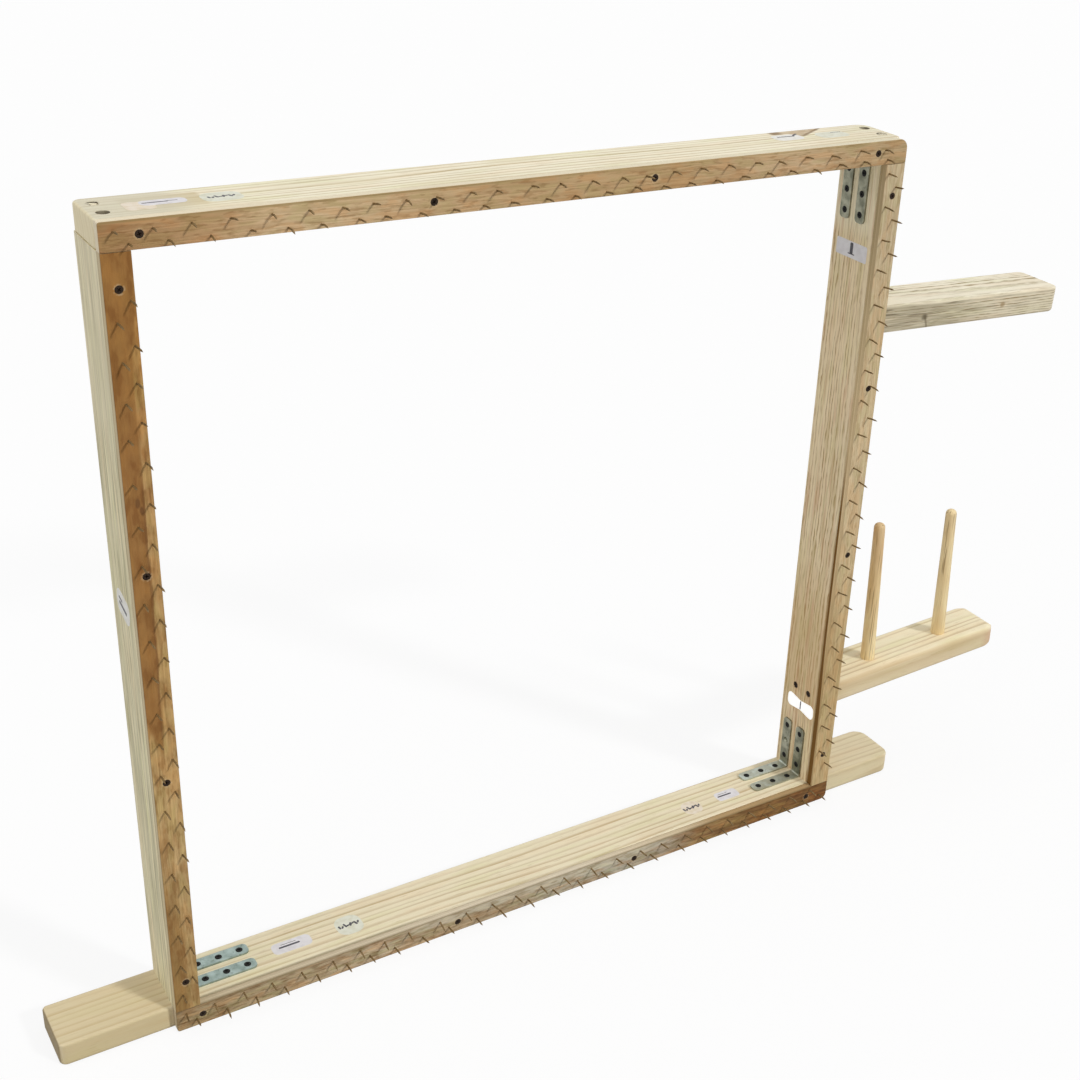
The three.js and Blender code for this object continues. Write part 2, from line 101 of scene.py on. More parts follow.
class Finish:
    """A procedural finish on a piece's own coordinates, counted in millimetres."""

    def __init__(self, name, along="x", pivot=(0, 0, 0), tilt=0.0):
        self.along = along
        self.material = bpy.data.materials.new(name)
        self.material.use_nodes = True
        self.tree = self.material.node_tree
        self.tree.nodes.clear()
        self.surface = self.tree.nodes.new("ShaderNodeBsdfPrincipled")
        self.output = self.tree.nodes.new("ShaderNodeOutputMaterial")
        self.tree.links.new(self.surface.outputs[0], self.output.inputs[0])
        place = self.add("ShaderNodeTexCoord", output="Object")
        place = self.add("ShaderNodeVectorMath", {"operation": "MULTIPLY"}, {0: place, 1: (1000, 1000, 1000)})
        if tilt:
            turn = {"Location": pivot, "Rotation": (0, -math.radians(tilt), 0)}
            place = self.add("ShaderNodeMapping", {"vector_type": "TEXTURE"}, {"Vector": place, **turn})
        self.place = place
        self.x, self.y, self.z = (self.add("ShaderNodeSeparateXYZ", {}, {0: place}, output=i) for i in range(3))

    def add(self, kind, settings=None, sockets=None, output=0):
        """Adds a node: its settings first, then the values or links of its sockets."""
        node = self.tree.nodes.new(kind)
        for key, value in (settings or {}).items():
            if key == "stops":
                ramp = node.color_ramp
                while len(ramp.elements) < len(value):
                    ramp.elements.new(1.0)
                for element, (position, colour) in zip(ramp.elements, value):
                    element.position, element.color = position, colour
            else:
                setattr(node, key, value)
        for key, value in (sockets or {}).items():
            if isinstance(value, Wire):
                self.tree.links.new(value.socket, node.inputs[key])
            else:
                node.inputs[key].default_value = value
        return Wire(self, node.outputs[output])

    def mix(self, amount, first, second, blend="MIX"):
        kind = {"data_type": "RGBA", "blend_type": blend}
        return self.add("ShaderNodeMix", kind, {0: amount, 6: first, 7: second}, output=2)

    def shade(self, amount, colour, red, green, blue):
        """Multiplies a colour by three factors, as far as the amount says."""
        return self.mix(amount, colour, self.mix(1.0, colour, (red, green, blue, 1), "MULTIPLY"))

    def dye(self, amount, colour, red, green, blue):
        """Brings a colour towards one of a colour chart, as far as the amount says."""
        return self.mix(amount, colour, paint(red, green, blue))

    def noise(self, stretch, detail=2.0, shift=0.0):
        """Soft noise from 0 to 1. The stretch is how fast it changes per millimetre along x, y and z."""
        moved = (shift, 1.7 * shift, 0.6 * shift)
        place = self.add("ShaderNodeVectorMath", {"operation": "MULTIPLY_ADD"}, {0: self.place, 1: stretch, 2: moved})
        return self.add("ShaderNodeTexNoise", {}, {"Vector": place, "Scale": 1.0, "Detail": detail})

    def grain(self, stretch, detail, shift):
        """Noise on a board: its stretch is along the grain, through the board and across it."""
        return self.noise(stretch if self.along == "x" else stretch[::-1], detail, shift)

    def away(self, x, z, wide=1.0, high=1.0):
        """How far a place is from a point on a board's front, counted in the widths given."""
        return (((self.x - x) / wide) ** 2.0 + ((self.z - z) / high) ** 2.0) ** 0.5

    def arris(self, box):
        """How far a place on a board is from the board's nearest edge."""
        a, b, c = ((v - low).least(high - v) for v, (low, high) in zip((self.x, self.y, self.z), box))
        return a.least(b).most(a.most(b).least(c))

    def feed(self, colour=None, roughness=None, height=None, depth=0.3, **plain):
        """Joins colour, roughness and a bump in millimetres to the shader, and sets its plain sockets."""
        for key, value in plain.items():
            self.surface.inputs[key.replace("_", " ")].default_value = value
        if colour is not None:
            self.tree.links.new(colour.socket, self.surface.inputs["Base Color"])
        if roughness is not None:
            self.tree.links.new(roughness.socket, self.surface.inputs["Roughness"])
        if height is not None:
            bump = self.add("ShaderNodeBump", {}, {"Height": height, "Distance": depth / 1000, "Strength": 1.0})
            self.tree.links.new(bump.socket, self.surface.inputs["Normal"])
        return self.material


def paint(red, green, blue):
    """A colour as a colour chart gives it, from 0 to 255, made ready for a shader."""
    parts = (value / 255 for value in (red, green, blue))
    return (*(v / 12.92 if v < 0.04045 else ((v + 0.055) / 1.055) ** 2.4 for v in parts), 1.0)


def pine(name, box, along, heart, spacing, pale, late, seed, contrast=0.7, wander=9.0, ripple=0.0, stain=None,
         **turn):
    """Planed pine. The growth rings run round the log's heart, which lies beside the board. The box is the
    board's own, and a board that stands askew gives the pivot and the tilt of its turn."""
    look = Finish(name, along, **turn)
    side = look.z if along == "x" else look.x
    bend = look.grain((0.0016, 0.012, 0.012), 1.0, seed) * (2 * wander)
    bend = bend + look.grain((0.02, 0.9, 0.9), 1.0, seed + 3) * 1.6
    bend = bend + look.grain((0.0012, 0.04, 0.04), 1.0, seed + 17) * (1.6 * spacing)
    if ripple:
        bend = bend + look.grain((0.028, 0.13, 0.13), 2.0, seed + 31) * ripple
    ring = ((look.y - heart[0]) ** 2.0 + (side - heart[1]) ** 2.0) ** 0.5 + bend
    count = ring / spacing
    # Across one ring the wood goes from pale early growth to a dark late line.
    stops = [(0.0, (0, 0, 0, 1)), (0.5, (0.1, 0.1, 0.1, 1)), (0.86, (1, 1, 1, 1)), (1.0, (0.02, 0.02, 0.02, 1))]
    wood = look.add("ShaderNodeValToRGB", {"stops": stops}, {0: count.part()})
    strength = look.add("ShaderNodeTexWhiteNoise", {"noise_dimensions": "1D"}, {"W": count.whole() + seed})
    fibre = look.grain((0.05, 2.6, 2.6), 2.0, seed + 7)
    patch = look.grain((0.006, 0.02, 0.02), 3.0, seed + 11)
    line = wood * (strength * 0.7 + 0.3) * contrast * (patch * 1.2 + 0.35)
    if ripple:
        broken = look.grain((0.05, 0.3, 0.3), 2.0, seed + 37).rise(0.35, 0.62)
        line = line * (broken * 0.95 + 0.38)
    colour = look.mix(line.least(1.0), pale, late)
    colour = look.mix((fibre - 0.45).most(0.0) * 0.7, colour, late)
    fleck = look.grain((0.045, 0.8, 0.8), 1.0, seed + 21).rise(0.64, 0.76)
    resin = look.mix(1.0, late, (0.72, 0.66, 0.56, 1), "MULTIPLY")
    colour = look.mix(fleck * (0.12 if ripple else 0.35), colour, resin)
    tint = look.grain((0.01, 0.06, 0.06), 2.0, seed + 41)
    colour = look.shade(tint.rise(0.5, 0.68) * 0.6, colour, 1.0, 0.94, 0.9)
    colour = look.shade((1 - tint).rise(0.5, 0.68) * 0.6, colour, 0.93, 0.96, 0.84)
    colour = look.dye((patch - 0.5).most(0.0) * 0.5, colour, 188, 170, 138)
    edge = look.arris(box)
    rub = edge.fall(0.6, 3.6) * look.noise((0.03, 0.12, 0.03), 3.0, seed + 5).rise(0.4, 0.65)
    colour = look.dye(rub * 0.35, colour, 246, 238, 214)
    if stain:
        colour = stain(look, colour)
    rough = 0.62 + fibre * 0.2
    height = fibre * 0.35 + line * 0.4 + look.noise((0.25, 0.25, 0.25), 2.0, seed) * 0.25
    return look.feed(colour, rough, height, 0.25, Specular_IOR_Level=0.35)


def verts_of(items):
    return [item for item in items if isinstance(item, bmesh.types.BMVert)]


def edges_of(items):
    return [item for item in items if isinstance(item, bmesh.types.BMEdge)]


def draw_out(bm, edges):
    """Extrudes edges into a wall that has no height yet. Gives the wall's new vertices and edges."""
    made = bmesh.ops.extrude_edge_only(bm, edges=edges)["geom"]
    return verts_of(made), edges_of(made)


def new_ring(bm, sides, radius, place):
    ring = bmesh.ops.create_circle(bm, cap_ends=False, segments=sides, radius=radius, matrix=place)["verts"]
    return list({edge for vert in ring for edge in vert.link_edges})


def cut(bm, point, across, **clear):
    """Cuts the whole shape with a plane, and clears one side of it where that is asked."""
    bmesh.ops.bisect_plane(bm, geom=bm.verts[:] + bm.edges[:] + bm.faces[:], dist=1e-3, plane_co=point,
                           plane_no=across, **clear)


def facing(out):
    """The turn that points what looks up along another direction."""
    return Vector((0, 0, 1)).rotation_difference(Vector(out)).to_matrix().to_4x4()


def join_in(bm, part):
    """Adds a finished shape to another one."""
    joined = bpy.data.meshes.new("part")
    part.to_mesh(joined)
    part.free()
    bm.from_mesh(joined)
    bpy.data.meshes.remove(joined)


def new_block(box):
    """A sawn block of wood between the low and high values of x, y and z."""
    low, high = Vector([pair[0] for pair in box]), Vector([pair[1] for pair in box])
    block = bmesh.new()
    size = Matrix.Diagonal((*(high - low), 1))
    bmesh.ops.create_cube(block, size=1, matrix=Matrix.Translation((low + high) / 2) @ size)
    return block


def run_along(bm, axis, keep=lambda middle: True):
    """The edges that run along one axis and whose middles pass a test."""
    found = []
    for edge in bm.edges:
        run = edge.verts[1].co - edge.verts[0].co
        if abs(run[axis]) > 0.99 * run.length and keep((edge.verts[0].co + edge.verts[1].co) / 2):
            found.append(edge)
    return found


def rim_at(bm, axis, value):
    """The edges that lie in one plane across an axis."""
    return [edge for edge in bm.edges if all(abs(v.co[axis] - value) < 1e-3 for v in edge.verts)]


def round_over(bm, edges, radius, segments):
    bmesh.ops.bevel(bm, geom=edges, offset=radius, offset_type="OFFSET", affect="EDGES", segments=segments,
                    profile=0.5, material=-1, clamp_overlap=True)


def bore(bm, centre, out, across, steps, sides=32, spare=3.0):
    """Bores a round hole into the flat face around a place. Its steps are pairs of radius and depth. Two cuts
    across the face keep the patch that is filled round the hole small: the spare wood is what they leave."""
    centre, out, across = Vector(centre), Vector(out), Vector(across)
    reach = steps[0][0] + spare
    for side in (-reach, reach):
        cut(bm, centre + across * side, across)
    bm.normal_update()

    def offset(face):
        return face.calc_center_median() - centre

    near = [face for face in bm.faces if face.normal.dot(out) > 0.99 and abs(offset(face).dot(out)) < 0.05]
    patch = min(near, key=lambda face: offset(face).length)
    edges = patch.edges[:]
    bmesh.ops.delete(bm, geom=[patch], context="FACES_ONLY")
    circle = new_ring(bm, sides, steps[0][0], Matrix.Translation(centre) @ facing(out))
    bmesh.ops.triangle_fill(bm, use_beauty=True, use_dissolve=False, edges=edges + circle, normal=out)
    for (wide, high), (narrow, low) in zip(steps, steps[1:]):
        verts, circle = draw_out(bm, circle)
        bmesh.ops.translate(bm, vec=out * (high - low), verts=verts)
        back = Matrix.Translation(-(centre - out * low))
        bmesh.ops.scale(bm, vec=(narrow / wide,) * 3, space=back, verts=verts)
    bmesh.ops.contextual_create(bm, geom=circle)


def make_piece(bm, name, finishes, slot, *nodes, crease=38):
    """Turns a finished shape into a piece of the frame, in metres, that stands for its CAD nodes."""
    bmesh.ops.recalc_face_normals(bm, faces=bm.faces[:])
    bmesh.ops.scale(bm, vec=(0.001, 0.001, 0.001), verts=bm.verts[:])
    for face in bm.faces:
        face.smooth = True
    for edge in bm.edges:
        edge.smooth = len(edge.link_faces) == 2 and edge.calc_face_angle() < math.radians(crease)
    mesh = bpy.data.meshes.new(name)
    bm.to_mesh(mesh)
    bm.free()
    piece = bpy.data.objects.new(name, mesh)
    bpy.context.scene.collection.objects.link(piece)
    for finish in finishes:
        mesh.materials.append(finish)
    even = piece.modifiers.new("even_faces", "WEIGHTED_NORMAL")
    even.keep_sharp = True
    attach(piece, "root")
    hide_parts(*nodes)


BOARD = 31  # how thick every board is
DEEP = 39  # half its depth, from the middle to the front or the back
HALF, HIGH = 500, 1000  # half the frame's width, and its height
TAB_END = 635
EASED = 3  # radius of the boards' eased edges
COUNTERBORE = [(7, 0), (7, 8), (5.3, 8), (5.3, 8.9), (2.9, 11.4)]
RAIL_SCREWS = [(x, y) for x in (BOARD / 2 - HALF, HALF - BOARD / 2) for y in (-17, 17)]

rail_box = ((-TAB_END, TAB_END), (-DEEP, DEEP), (0, BOARD))
bottom_rail = new_block(rail_box)
TAB_CORNERS = ((-1, -1, 9), (-1, 1, 6), (1, -1, 17), (1, 1, 20))
for side, front, radius in TAB_CORNERS:
    corner = run_along(bottom_rail, 2, lambda middle: middle.x * side > 600 and middle.y * front > 30)
    round_over(bottom_rail, corner, radius, 10)
for height in (0, BOARD):
    round_over(bottom_rail, rim_at(bottom_rail, 2, height), EASED, 4)
for x, y in RAIL_SCREWS:
    bore(bottom_rail, (x, y, 0), (0, 0, -1), (1, 0, 0), COUNTERBORE, spare=1.5)


def rail_stain(look, colour):
    """Handling marks and painted shade on the tabs' fronts, dirt and painted shade where the rail meets the
    strip, grey saw marks on the ends and a dull underside."""
    colour = look.dye(look.x.fall(-520, -470) * 0.6, colour, 206, 186, 142)
    colour = look.dye(look.x.rise(480, 540) * 0.35, colour, 236, 220, 184)
    # Painted shade: the tabs' fronts are darker than their tops.
    painted_tab_front_shade = abs(look.x).rise(500, 506) * look.y.fall(-39, -36)
    colour = look.shade(painted_tab_front_shade, colour, 0.91, 0.89, 0.82)
    # Dirt and painted shade darken the rail's front just over the strip.
    seam_dirt_and_shade = look.y.fall(-38.0, -35.2) * abs(look.x).fall(498, 502)
    seam_dirt_and_shade = seam_dirt_and_shade * (look.x.fall(-220, -120) * 0.42 + look.x.fall(100, 160) * 0.22 + 0.06)
    colour = look.dye(seam_dirt_and_shade, colour, 112, 98, 60)
    rough = look.noise((0.2, 0.5, 0.5), 2.0, 12.0)
    sawn = look.x.fall(-634.6, -633.0).most(look.x.rise(633.0, 634.6) * 0.4)
    colour = look.dye(sawn * (rough * 0.3 + 0.7), colour, 140, 122, 90)
    under = look.z.fall(0.5, 6.0)
    return look.dye(under * 0.35, colour, 150, 134, 104)


bottom_pine = pine("bottom_rail_pine", rail_box, "x", (170, -30), 9.4, paint(243, 232, 202), paint(190, 162, 112),
                   1.3, contrast=0.95, wander=16, stain=rail_stain)
make_piece(bottom_rail, "planed_bottom_rail", [bottom_pine], "pine", "bottom_rail")

# The two stiles. Planed pine boards that stand on the bottom rail and carry the top one, with their long
# edges eased. The right one is drilled for the screws of the yarn shelf.
SHELF_SCREWS = [(-19, 177), (11, 177)]
SHELF_SCREW_HOLE = [(5.1, 0), (5.1, 0.9), (2.8, 3.2)]


def left_stile_stain(look, colour):
    """The outer face has gone grey in long blotches, with a darker streak or two."""
    outer = look.x.fall(-499.5, -497)
    blotch = look.noise((0.05, 0.09, 0.006), 3.0, 4.0).rise(0.35, 0.65)
    colour = look.dye(outer * blotch * 0.6, colour, 188, 181, 148)
    streak = look.noise((0.3, 0.4, 0.01), 2.0, 9.0).rise(0.5, 0.7)
    colour = look.dye(outer * streak * 0.75, colour, 156, 144, 104)
    return look.dye(outer * look.z.rise(740, 800) * 0.3, colour, 250, 238, 208)


def right_stile_stain(look, colour):
    """The inner face is darker low down and paler at the top, painted light against the shade under the top
    rail and the braces, with red and olive streaks. It is rubbed pale beside the strip, and dirt and
    painted shade darken it where it meets the strip."""
    colour = look.dye(look.y.rise(36, 38.5) * 0.65, colour, 236, 216, 178)
    inner = look.x.fall(469.5, 473)
    low = look.z.rise(110, 190) * look.z.fall(260, 440)
    colour = look.dye(inner * (0.04 + low * 0.34), colour, 194, 152, 76)
    # Painted light: the top of the inner face is lightened against the shade under the top rail and braces.
    high = look.z.rise(860, 890)
    colour = look.dye(inner * high * 0.6, colour, 255, 246, 216)
    red = look.noise((0.3, 0.14, 0.012), 2.0, 13.0).rise(0.54, 0.68)
    colour = look.dye(inner * red * 0.45, colour, 208, 162, 122)
    olive = look.noise((0.3, 0.12, 0.014), 2.0, 19.0).rise(0.54, 0.68)
    colour = look.dye(inner * olive * 0.4, colour, 196, 176, 122)
    rubbed = look.y.rise(-36.5, -35) * look.y.fall(-33, -29) * look.z.rise(140, 460)
    colour = look.dye(inner * (rubbed * 0.45), colour, 250, 230, 196)
    # Dirt and painted shade darken the stile's front edge where the strip meets it, in its lower half.
    dirt = look.y.fall(-38, -36) * look.z.fall(400, 520)
    return look.dye(dirt * 0.6, colour, 150, 108, 52)


STILES = {
    # Which side it stands on, its log's heart, the spacing of its rings, its pale and its dark wood and a
    # seed. Then what else tells it apart.
    "left": (-1, (190, -460), 6.2, paint(249, 240, 204), paint(192, 174, 126), 8.7,
             {"wander": 12, "stain": left_stile_stain}),
    "right": (1, (-150, 420), 5.6, paint(250, 231, 194), paint(176, 142, 96), 5.1,
              {"contrast": 1.05, "wander": 10, "ripple": 7, "stain": right_stile_stain}),
}
for name, (side, *wood, marks) in STILES.items():
    low, high = sorted((side * HALF, side * (HALF - BOARD)))
    box = ((low, high), (-DEEP, DEEP), (BOARD, HIGH - BOARD))
    stile = new_block(box)
    round_over(stile, run_along(stile, 2), EASED, 4)
    if name == "right":
        for y, z in SHELF_SCREWS:
            bore(stile, (HALF - BOARD, y, z), (-1, 0, 0), (0, 0, 1), SHELF_SCREW_HOLE)
    stile_pine = pine(f"{name}_stile_pine", box, "z", *wood, **marks)
    make_piece(stile, f"planed_{name}_stile", [stile_pine], "pine", f"{name}_stile")

# The top rail. A planed pine board that lies on the ends of the stiles, with two long screws down into
# each of them from counterbores. One counterbore was plugged and the plug has half come away.
TOP = 999.8  # a hair low, so that the labels on it stay within the frame's height
top_box = ((-HALF, HALF), (-DEEP, DEEP), (HIGH - BOARD, TOP))
top_rail = new_block(top_box)
round_over(top_rail, run_along(top_rail, 2, lambda middle: middle.x > 0 and middle.y > 0), 17, 8)
round_over(top_rail, run_along(top_rail, 2, lambda middle: middle.x < 0 or middle.y < 0), 9, 8)
for height in (HIGH - BOARD, TOP):
    round_over(top_rail, rim_at(top_rail, 2, height), EASED, 4)
for x, y in RAIL_SCREWS:
    bore(top_rail, (x, y, TOP), (0, 0, 1), (1, 0, 0), COUNTERBORE, spare=1.5)


def top_stain(look, colour):
    """Where paper was rubbed off, the wood is beige on the left and scuffed brown on the right. The bores are
    darkened with painted shade, the ends are grey and the top is cloudy."""
    wobble = look.noise((0.05, 0.05, 0.05), 3.0, 2.0) * 14 - 7
    beige = (look.x + wobble).fall(-385, -378) * (look.x + wobble).rise(-466, -455)
    beige = beige * (look.y + wobble * 0.3).rise(-27, -22) * (look.y + wobble * 0.3).fall(20, 25)
    colour = look.dye(beige * 0.7, colour, 208, 190, 150)
    # The scuff reaches from the back edge down to a slanting torn line, dark where the fibres broke.
    side = (look.x - 424) * 0.52 - (look.y - 36) * 0.854 + wobble * 0.25
    inside = side.fall(-1, 1) * (look.y + look.x.rise(366, 378) * 14).rise(22, 26) * look.x.rise(341, 349)
    inside = inside * look.z.rise(997.6, 999.2)
    torn = look.noise((0.04, 0.3, 0.3), 3.0, 6.0).rise(0.35, 0.65)
    colour = look.dye(inside * (torn * 0.45 + 0.3), colour, 176, 144, 106)
    break_line = abs(side).fall(0.8, 3.4) * look.x.rise(374, 384) * look.x.fall(424, 432)
    break_line = break_line.most(look.x.fall(356, 364) * inside)
    break_line = break_line.most(look.y.rise(34, 37) * look.x.rise(380, 390) * look.x.fall(410, 418))
    colour = look.dye(break_line * look.z.rise(997.6, 999.2) * 0.75, colour, 126, 98, 62)
    # Painted shade darkens the walls of the counterbores.
    for x, y in RAIL_SCREWS:
        away = ((look.x - x) ** 2.0 + (look.y - y) ** 2.0) ** 0.5
        painted_bore_shade = away.fall(7.05, 7.6) * look.z.fall(999.0, 999.6)
        colour = look.dye(painted_bore_shade * (0.85 if x < 0 else 0.75), colour, 62, 48, 34)
    cloud = look.noise((0.008, 0.035, 0.035), 3.0, 15.0).rise(0.5, 0.66)
    colour = look.dye(cloud * 0.5, colour, 232, 220, 186)
    # The ends are handled most, and the left end grain has gone grey.
    handled = look.x.fall(-430, -380) * 0.7 + look.x.rise(420, 450) * 0.2
    colour = look.dye(handled * look.z.rise(999, 999.6), colour, 213, 206, 182)
    return look.dye(look.x.fall(-499.6, -496) * 0.8, colour, 240, 226, 188)


top_pine = pine("top_rail_pine", top_box, "x", (170, 940), 9.0, paint(253, 246, 222), paint(184, 160, 110), 3.4,
                contrast=1.0, wander=15, stain=top_stain)
make_piece(top_rail, "planed_top_rail", [top_pine], "pine", "top_rail")

PLUG_X, PLUG_Y = -484.5, 17
plug = bmesh.new()
askew = Matrix.Translation((PLUG_X, PLUG_Y, 998.6)) @ Matrix.Rotation(math.radians(9), 4, "X")
bmesh.ops.create_circle(plug, cap_ends=True, segments=24, radius=6.6, matrix=askew)
lifted = bmesh.ops.extrude_face_region(plug, geom=plug.faces[:])["geom"]
bmesh.ops.translate(plug, vec=(0, 0, -5), verts=verts_of(lifted))
cut(plug, (PLUG_X, PLUG_Y + 3.5, 998), (0.25, 1, 0), clear_outer=True)
bmesh.ops.holes_fill(plug, edges=plug.edges[:], sides=0)
plug_pine = pine("plug_pine", ((-492, -477), (9, 25), (990, 1000)), "x", (0, 900), 3.0, paint(242, 232, 204),
                 paint(206, 184, 140), 6.2)
make_piece(plug, "counterbore_plug", [plug_pine], "pine")

# The rail screws. Black countersunk wood screws, drawn tight at the bottoms of the counterbores, so that
# only their dark heads show down in the wood.
def black_screw_finish(name, ground, rub):
    look = Finish(name)
    worn = look.noise((0.9, 0.9, 0.9), 3.0, 1.0)
    colour = look.mix(worn.rise(0.52, 0.8) * 0.5, ground, rub)
    return look.feed(colour, 0.46 + worn * 0.3, worn, 0.08, Specular_IOR_Level=0.25)


def add_screw(bm, place, out, radius, dome, shank, turn, length):
    """A countersunk head with a cross recess, and its shank. The place is the head's rim, the dome is how
    high it swells over that, and the shank is a radius."""
    made = bmesh.new()
    lip = 0.35  # how far under the rim the countersink begins
    outline = ((radius * 0.97, -lip), (radius, -0.12), (radius * 0.96, 0.0), (radius * 0.72, dome * 0.75))
    rims = [new_ring(made, 20, wide, Matrix.Translation((0, 0, height))) for wide, height in outline]
    for low, high in zip(rims, rims[1:]):
        bmesh.ops.bridge_loops(made, edges=low + high)
    # The cross is a face of twelve corners, set in the middle of the head and sunk with sloping walls.
    long, half = radius * 0.56, radius * 0.13
    arm_end = ((long, -half), (long, half), (half, half))
    corners = []
    for quarter in range(4):
        spin = Matrix.Rotation(quarter * math.pi / 2, 3, "Z")
        corners += [made.verts.new(spin @ Vector((x, y, dome))) for x, y in arm_end]
    cross = made.faces.new(corners)
    edges = cross.edges[:]
    bmesh.ops.delete(made, geom=[cross], context="FACES_ONLY")
    bmesh.ops.bridge_loops(made, edges=rims[-1] + edges)
    verts, edges = draw_out(made, edges)
    bmesh.ops.translate(made, vec=(0, 0, -radius * 0.5), verts=verts)
    bmesh.ops.scale(made, vec=(0.6, 0.6, 1), verts=verts)
    bmesh.ops.contextual_create(made, geom=edges)
    # Under the rim the head narrows to its shank.
    cone = rims[0]
    for height in (-lip - (radius - shank), -length):
        verts, cone = draw_out(made, cone)
        now = (verts[0].co - Vector((0, 0, verts[0].co.z))).length
        bmesh.ops.translate(made, vec=(0, 0, height - verts[0].co.z), verts=verts)
        bmesh.ops.scale(made, vec=(shank / now, shank / now, 1), verts=verts)
    bmesh.ops.contextual_create(made, geom=cone)
    aim = Matrix.Translation(place) @ facing(out) @ Matrix.Rotation(turn, 4, "Z")
    bmesh.ops.transform(made, matrix=aim, verts=made.verts[:])
    join_in(bm, made)


black = black_screw_finish("black_screw_finish", paint(40, 26, 14), paint(98, 74, 44))
turns = random.Random(4)
RAIL_SCREW_SUNK = 8.4
for rail, height, out in (("top", HIGH - RAIL_SCREW_SUNK, 1), ("bottom", RAIL_SCREW_SUNK, -1)):
    heads = bmesh.new()
    for x, y in RAIL_SCREWS:
        add_screw(heads, (x, y, height), (0, 0, out), 4.8, 0.2, 2.5, turns.uniform(0, 1.5), 40)
    nodes = [f"{rail}_rail_screw_{side}_{row}" for side in ("left", "right") for row in ("front", "back")]
    make_piece(heads, f"{rail}_rail_screws", [black], "black_screw", *nodes)

# The corner braces. Steel strip, stamped with rounded ends and six countersunk holes, bent to a right angle
# and zinc plated. Two lie side by side in each inner corner, each held by six small black screws.
BRACE_LEG, BRACE_WIDE, BRACE_THICK, BRACE_BEND = 83, 18, 2.5, 4.5
BRACE_HOLES = (18, 45, 72)  # from the corner, along both legs
BRACE_HOLE = [(4.5, 0), (4.4, 0.3), (2.5, 2.3)]
BRACE_ROWS = (("front", -13), ("back", 17))
NO_SCREW = ("bottom_right", "back", 45, 1)  # the one hole that was left empty, in the upright leg
BRACES = [("bottom_left", (1, 1)), ("bottom_right", (-1, 1)), ("top_left", (1, -1)), ("top_right", (-1, -1))]


def zinc_finish(name, bright, dull, seed, flat=None):
    """Zinc plate with dull clouds and grime. The legs that lie flat low down may be painted lighter, painted light on
    faces that look up.
    """
    look = Finish(name)
    cloud = look.noise((0.08, 0.08, 0.08), 3.0, seed)
    brushed = look.noise((0.35, 1.6, 0.35), 2.0, seed + 2)
    grime = look.noise((0.25, 0.25, 0.25), 4.0, seed + 5).rise(0.55, 0.75)
    colour = look.mix(cloud.rise(0.3, 0.7), bright, dull)
    if flat:
        # Painted light: the legs lying flat low down are lighter than the upright ones.
        warm = cloud.rise(0.35, 0.6) * 0.5 + 0.2 + look.y.fall(-5, 5) * 0.28
        colour = look.mix(look.z.fall(33.7, 37), colour, look.mix(warm, flat, bright))
    colour = look.dye(grime * 0.5, colour, 92, 94, 84)
    return look.feed(colour, 0.36 + cloud * 0.16 + grime * 0.15, brushed, 0.05, Metallic=0.85)


def new_brace():
    """A brace whose legs run from the origin along +X and +Z, with its back against the wood."""
    bm = bmesh.new()
    half = BRACE_WIDE / 2
    ends = [bm.verts.new((BRACE_LEG, y, 0)) for y in (-half, half)]
    strip = [bm.edges.new(ends)]

    verts, strip = draw_out(bm, strip)
    bmesh.ops.translate(bm, vec=(BRACE_BEND - BRACE_LEG, 0, 0), verts=verts)
    bent = bmesh.ops.spin(bm, geom=strip, cent=(BRACE_BEND, 0, BRACE_BEND), axis=(0, 1, 0), angle=math.pi / 2,
                          steps=8, use_merge=False)["geom_last"]
    verts, strip = draw_out(bm, edges_of(bent))
    bmesh.ops.translate(bm, vec=(0, 0, BRACE_LEG - BRACE_BEND), verts=verts)
    bmesh.ops.recalc_face_normals(bm, faces=bm.faces[:])
    bmesh.ops.solidify(bm, geom=bm.faces[:], thickness=BRACE_THICK)
    return bm


zinc_plain = zinc_finish("zinc_plate", paint(166, 182, 177), paint(138, 154, 147), 2.0)
zinc_shade = zinc_finish("zinc_plate_dull", paint(164, 163, 143), paint(116, 117, 100), 6.0, paint(199, 208, 200))
brace_screw_black = black_screw_finish("brace_screw_finish", paint(20, 20, 17), paint(70, 72, 62))
for corner, (along, up) in BRACES:
    for row, y in BRACE_ROWS:
        brace = new_brace()
        tips = [e for e in brace.edges if min(max(v.co.x, v.co.z) for v in e.verts) > BRACE_LEG - 0.1]
        tips = [e for e in tips if abs(e.verts[0].co.y - e.verts[1].co.y) < 0.1]
        round_over(brace, tips, 6, 6)
        for hole in BRACE_HOLES:
            bore(brace, (hole, 0, BRACE_THICK), (0, 0, 1), (1, 0, 0), BRACE_HOLE, 24, 2.0)
            bore(brace, (BRACE_THICK, 0, hole), (1, 0, 0), (0, 0, 1), BRACE_HOLE, 24, 2.0)
        heads = bmesh.new()
        proud = BRACE_THICK + 0.25
        for hole in BRACE_HOLES:
            for place, out in (((hole, 0, proud), (0, 0, 1)), ((proud, 0, hole), (1, 0, 0))):
                if (corner, row, hole, out[0]) != NO_SCREW:
                    add_screw(heads, place, out, 4.4, 0.55, 1.9, turns.uniform(0, 1.5), 4)
        put = Matrix.Translation((-along * (HALF - BOARD), y, BOARD if up == 1 else HIGH - BOARD))
        put = put @ Matrix.Diagonal((along, 1, up, 1))
        bmesh.ops.transform(brace, matrix=put, verts=brace.verts[:])
        bmesh.ops.transform(heads, matrix=put, verts=heads.verts[:])
        plate = zinc_plain if corner == "bottom_left" else zinc_shade
        make_piece(brace, f"bent_brace_{corner}_{row}", [plate], "zinc", f"corner_brace_{corner}_{row}")
        make_piece(heads, f"brace_screws_{corner}_{row}", [brace_screw_black], "black_screw")

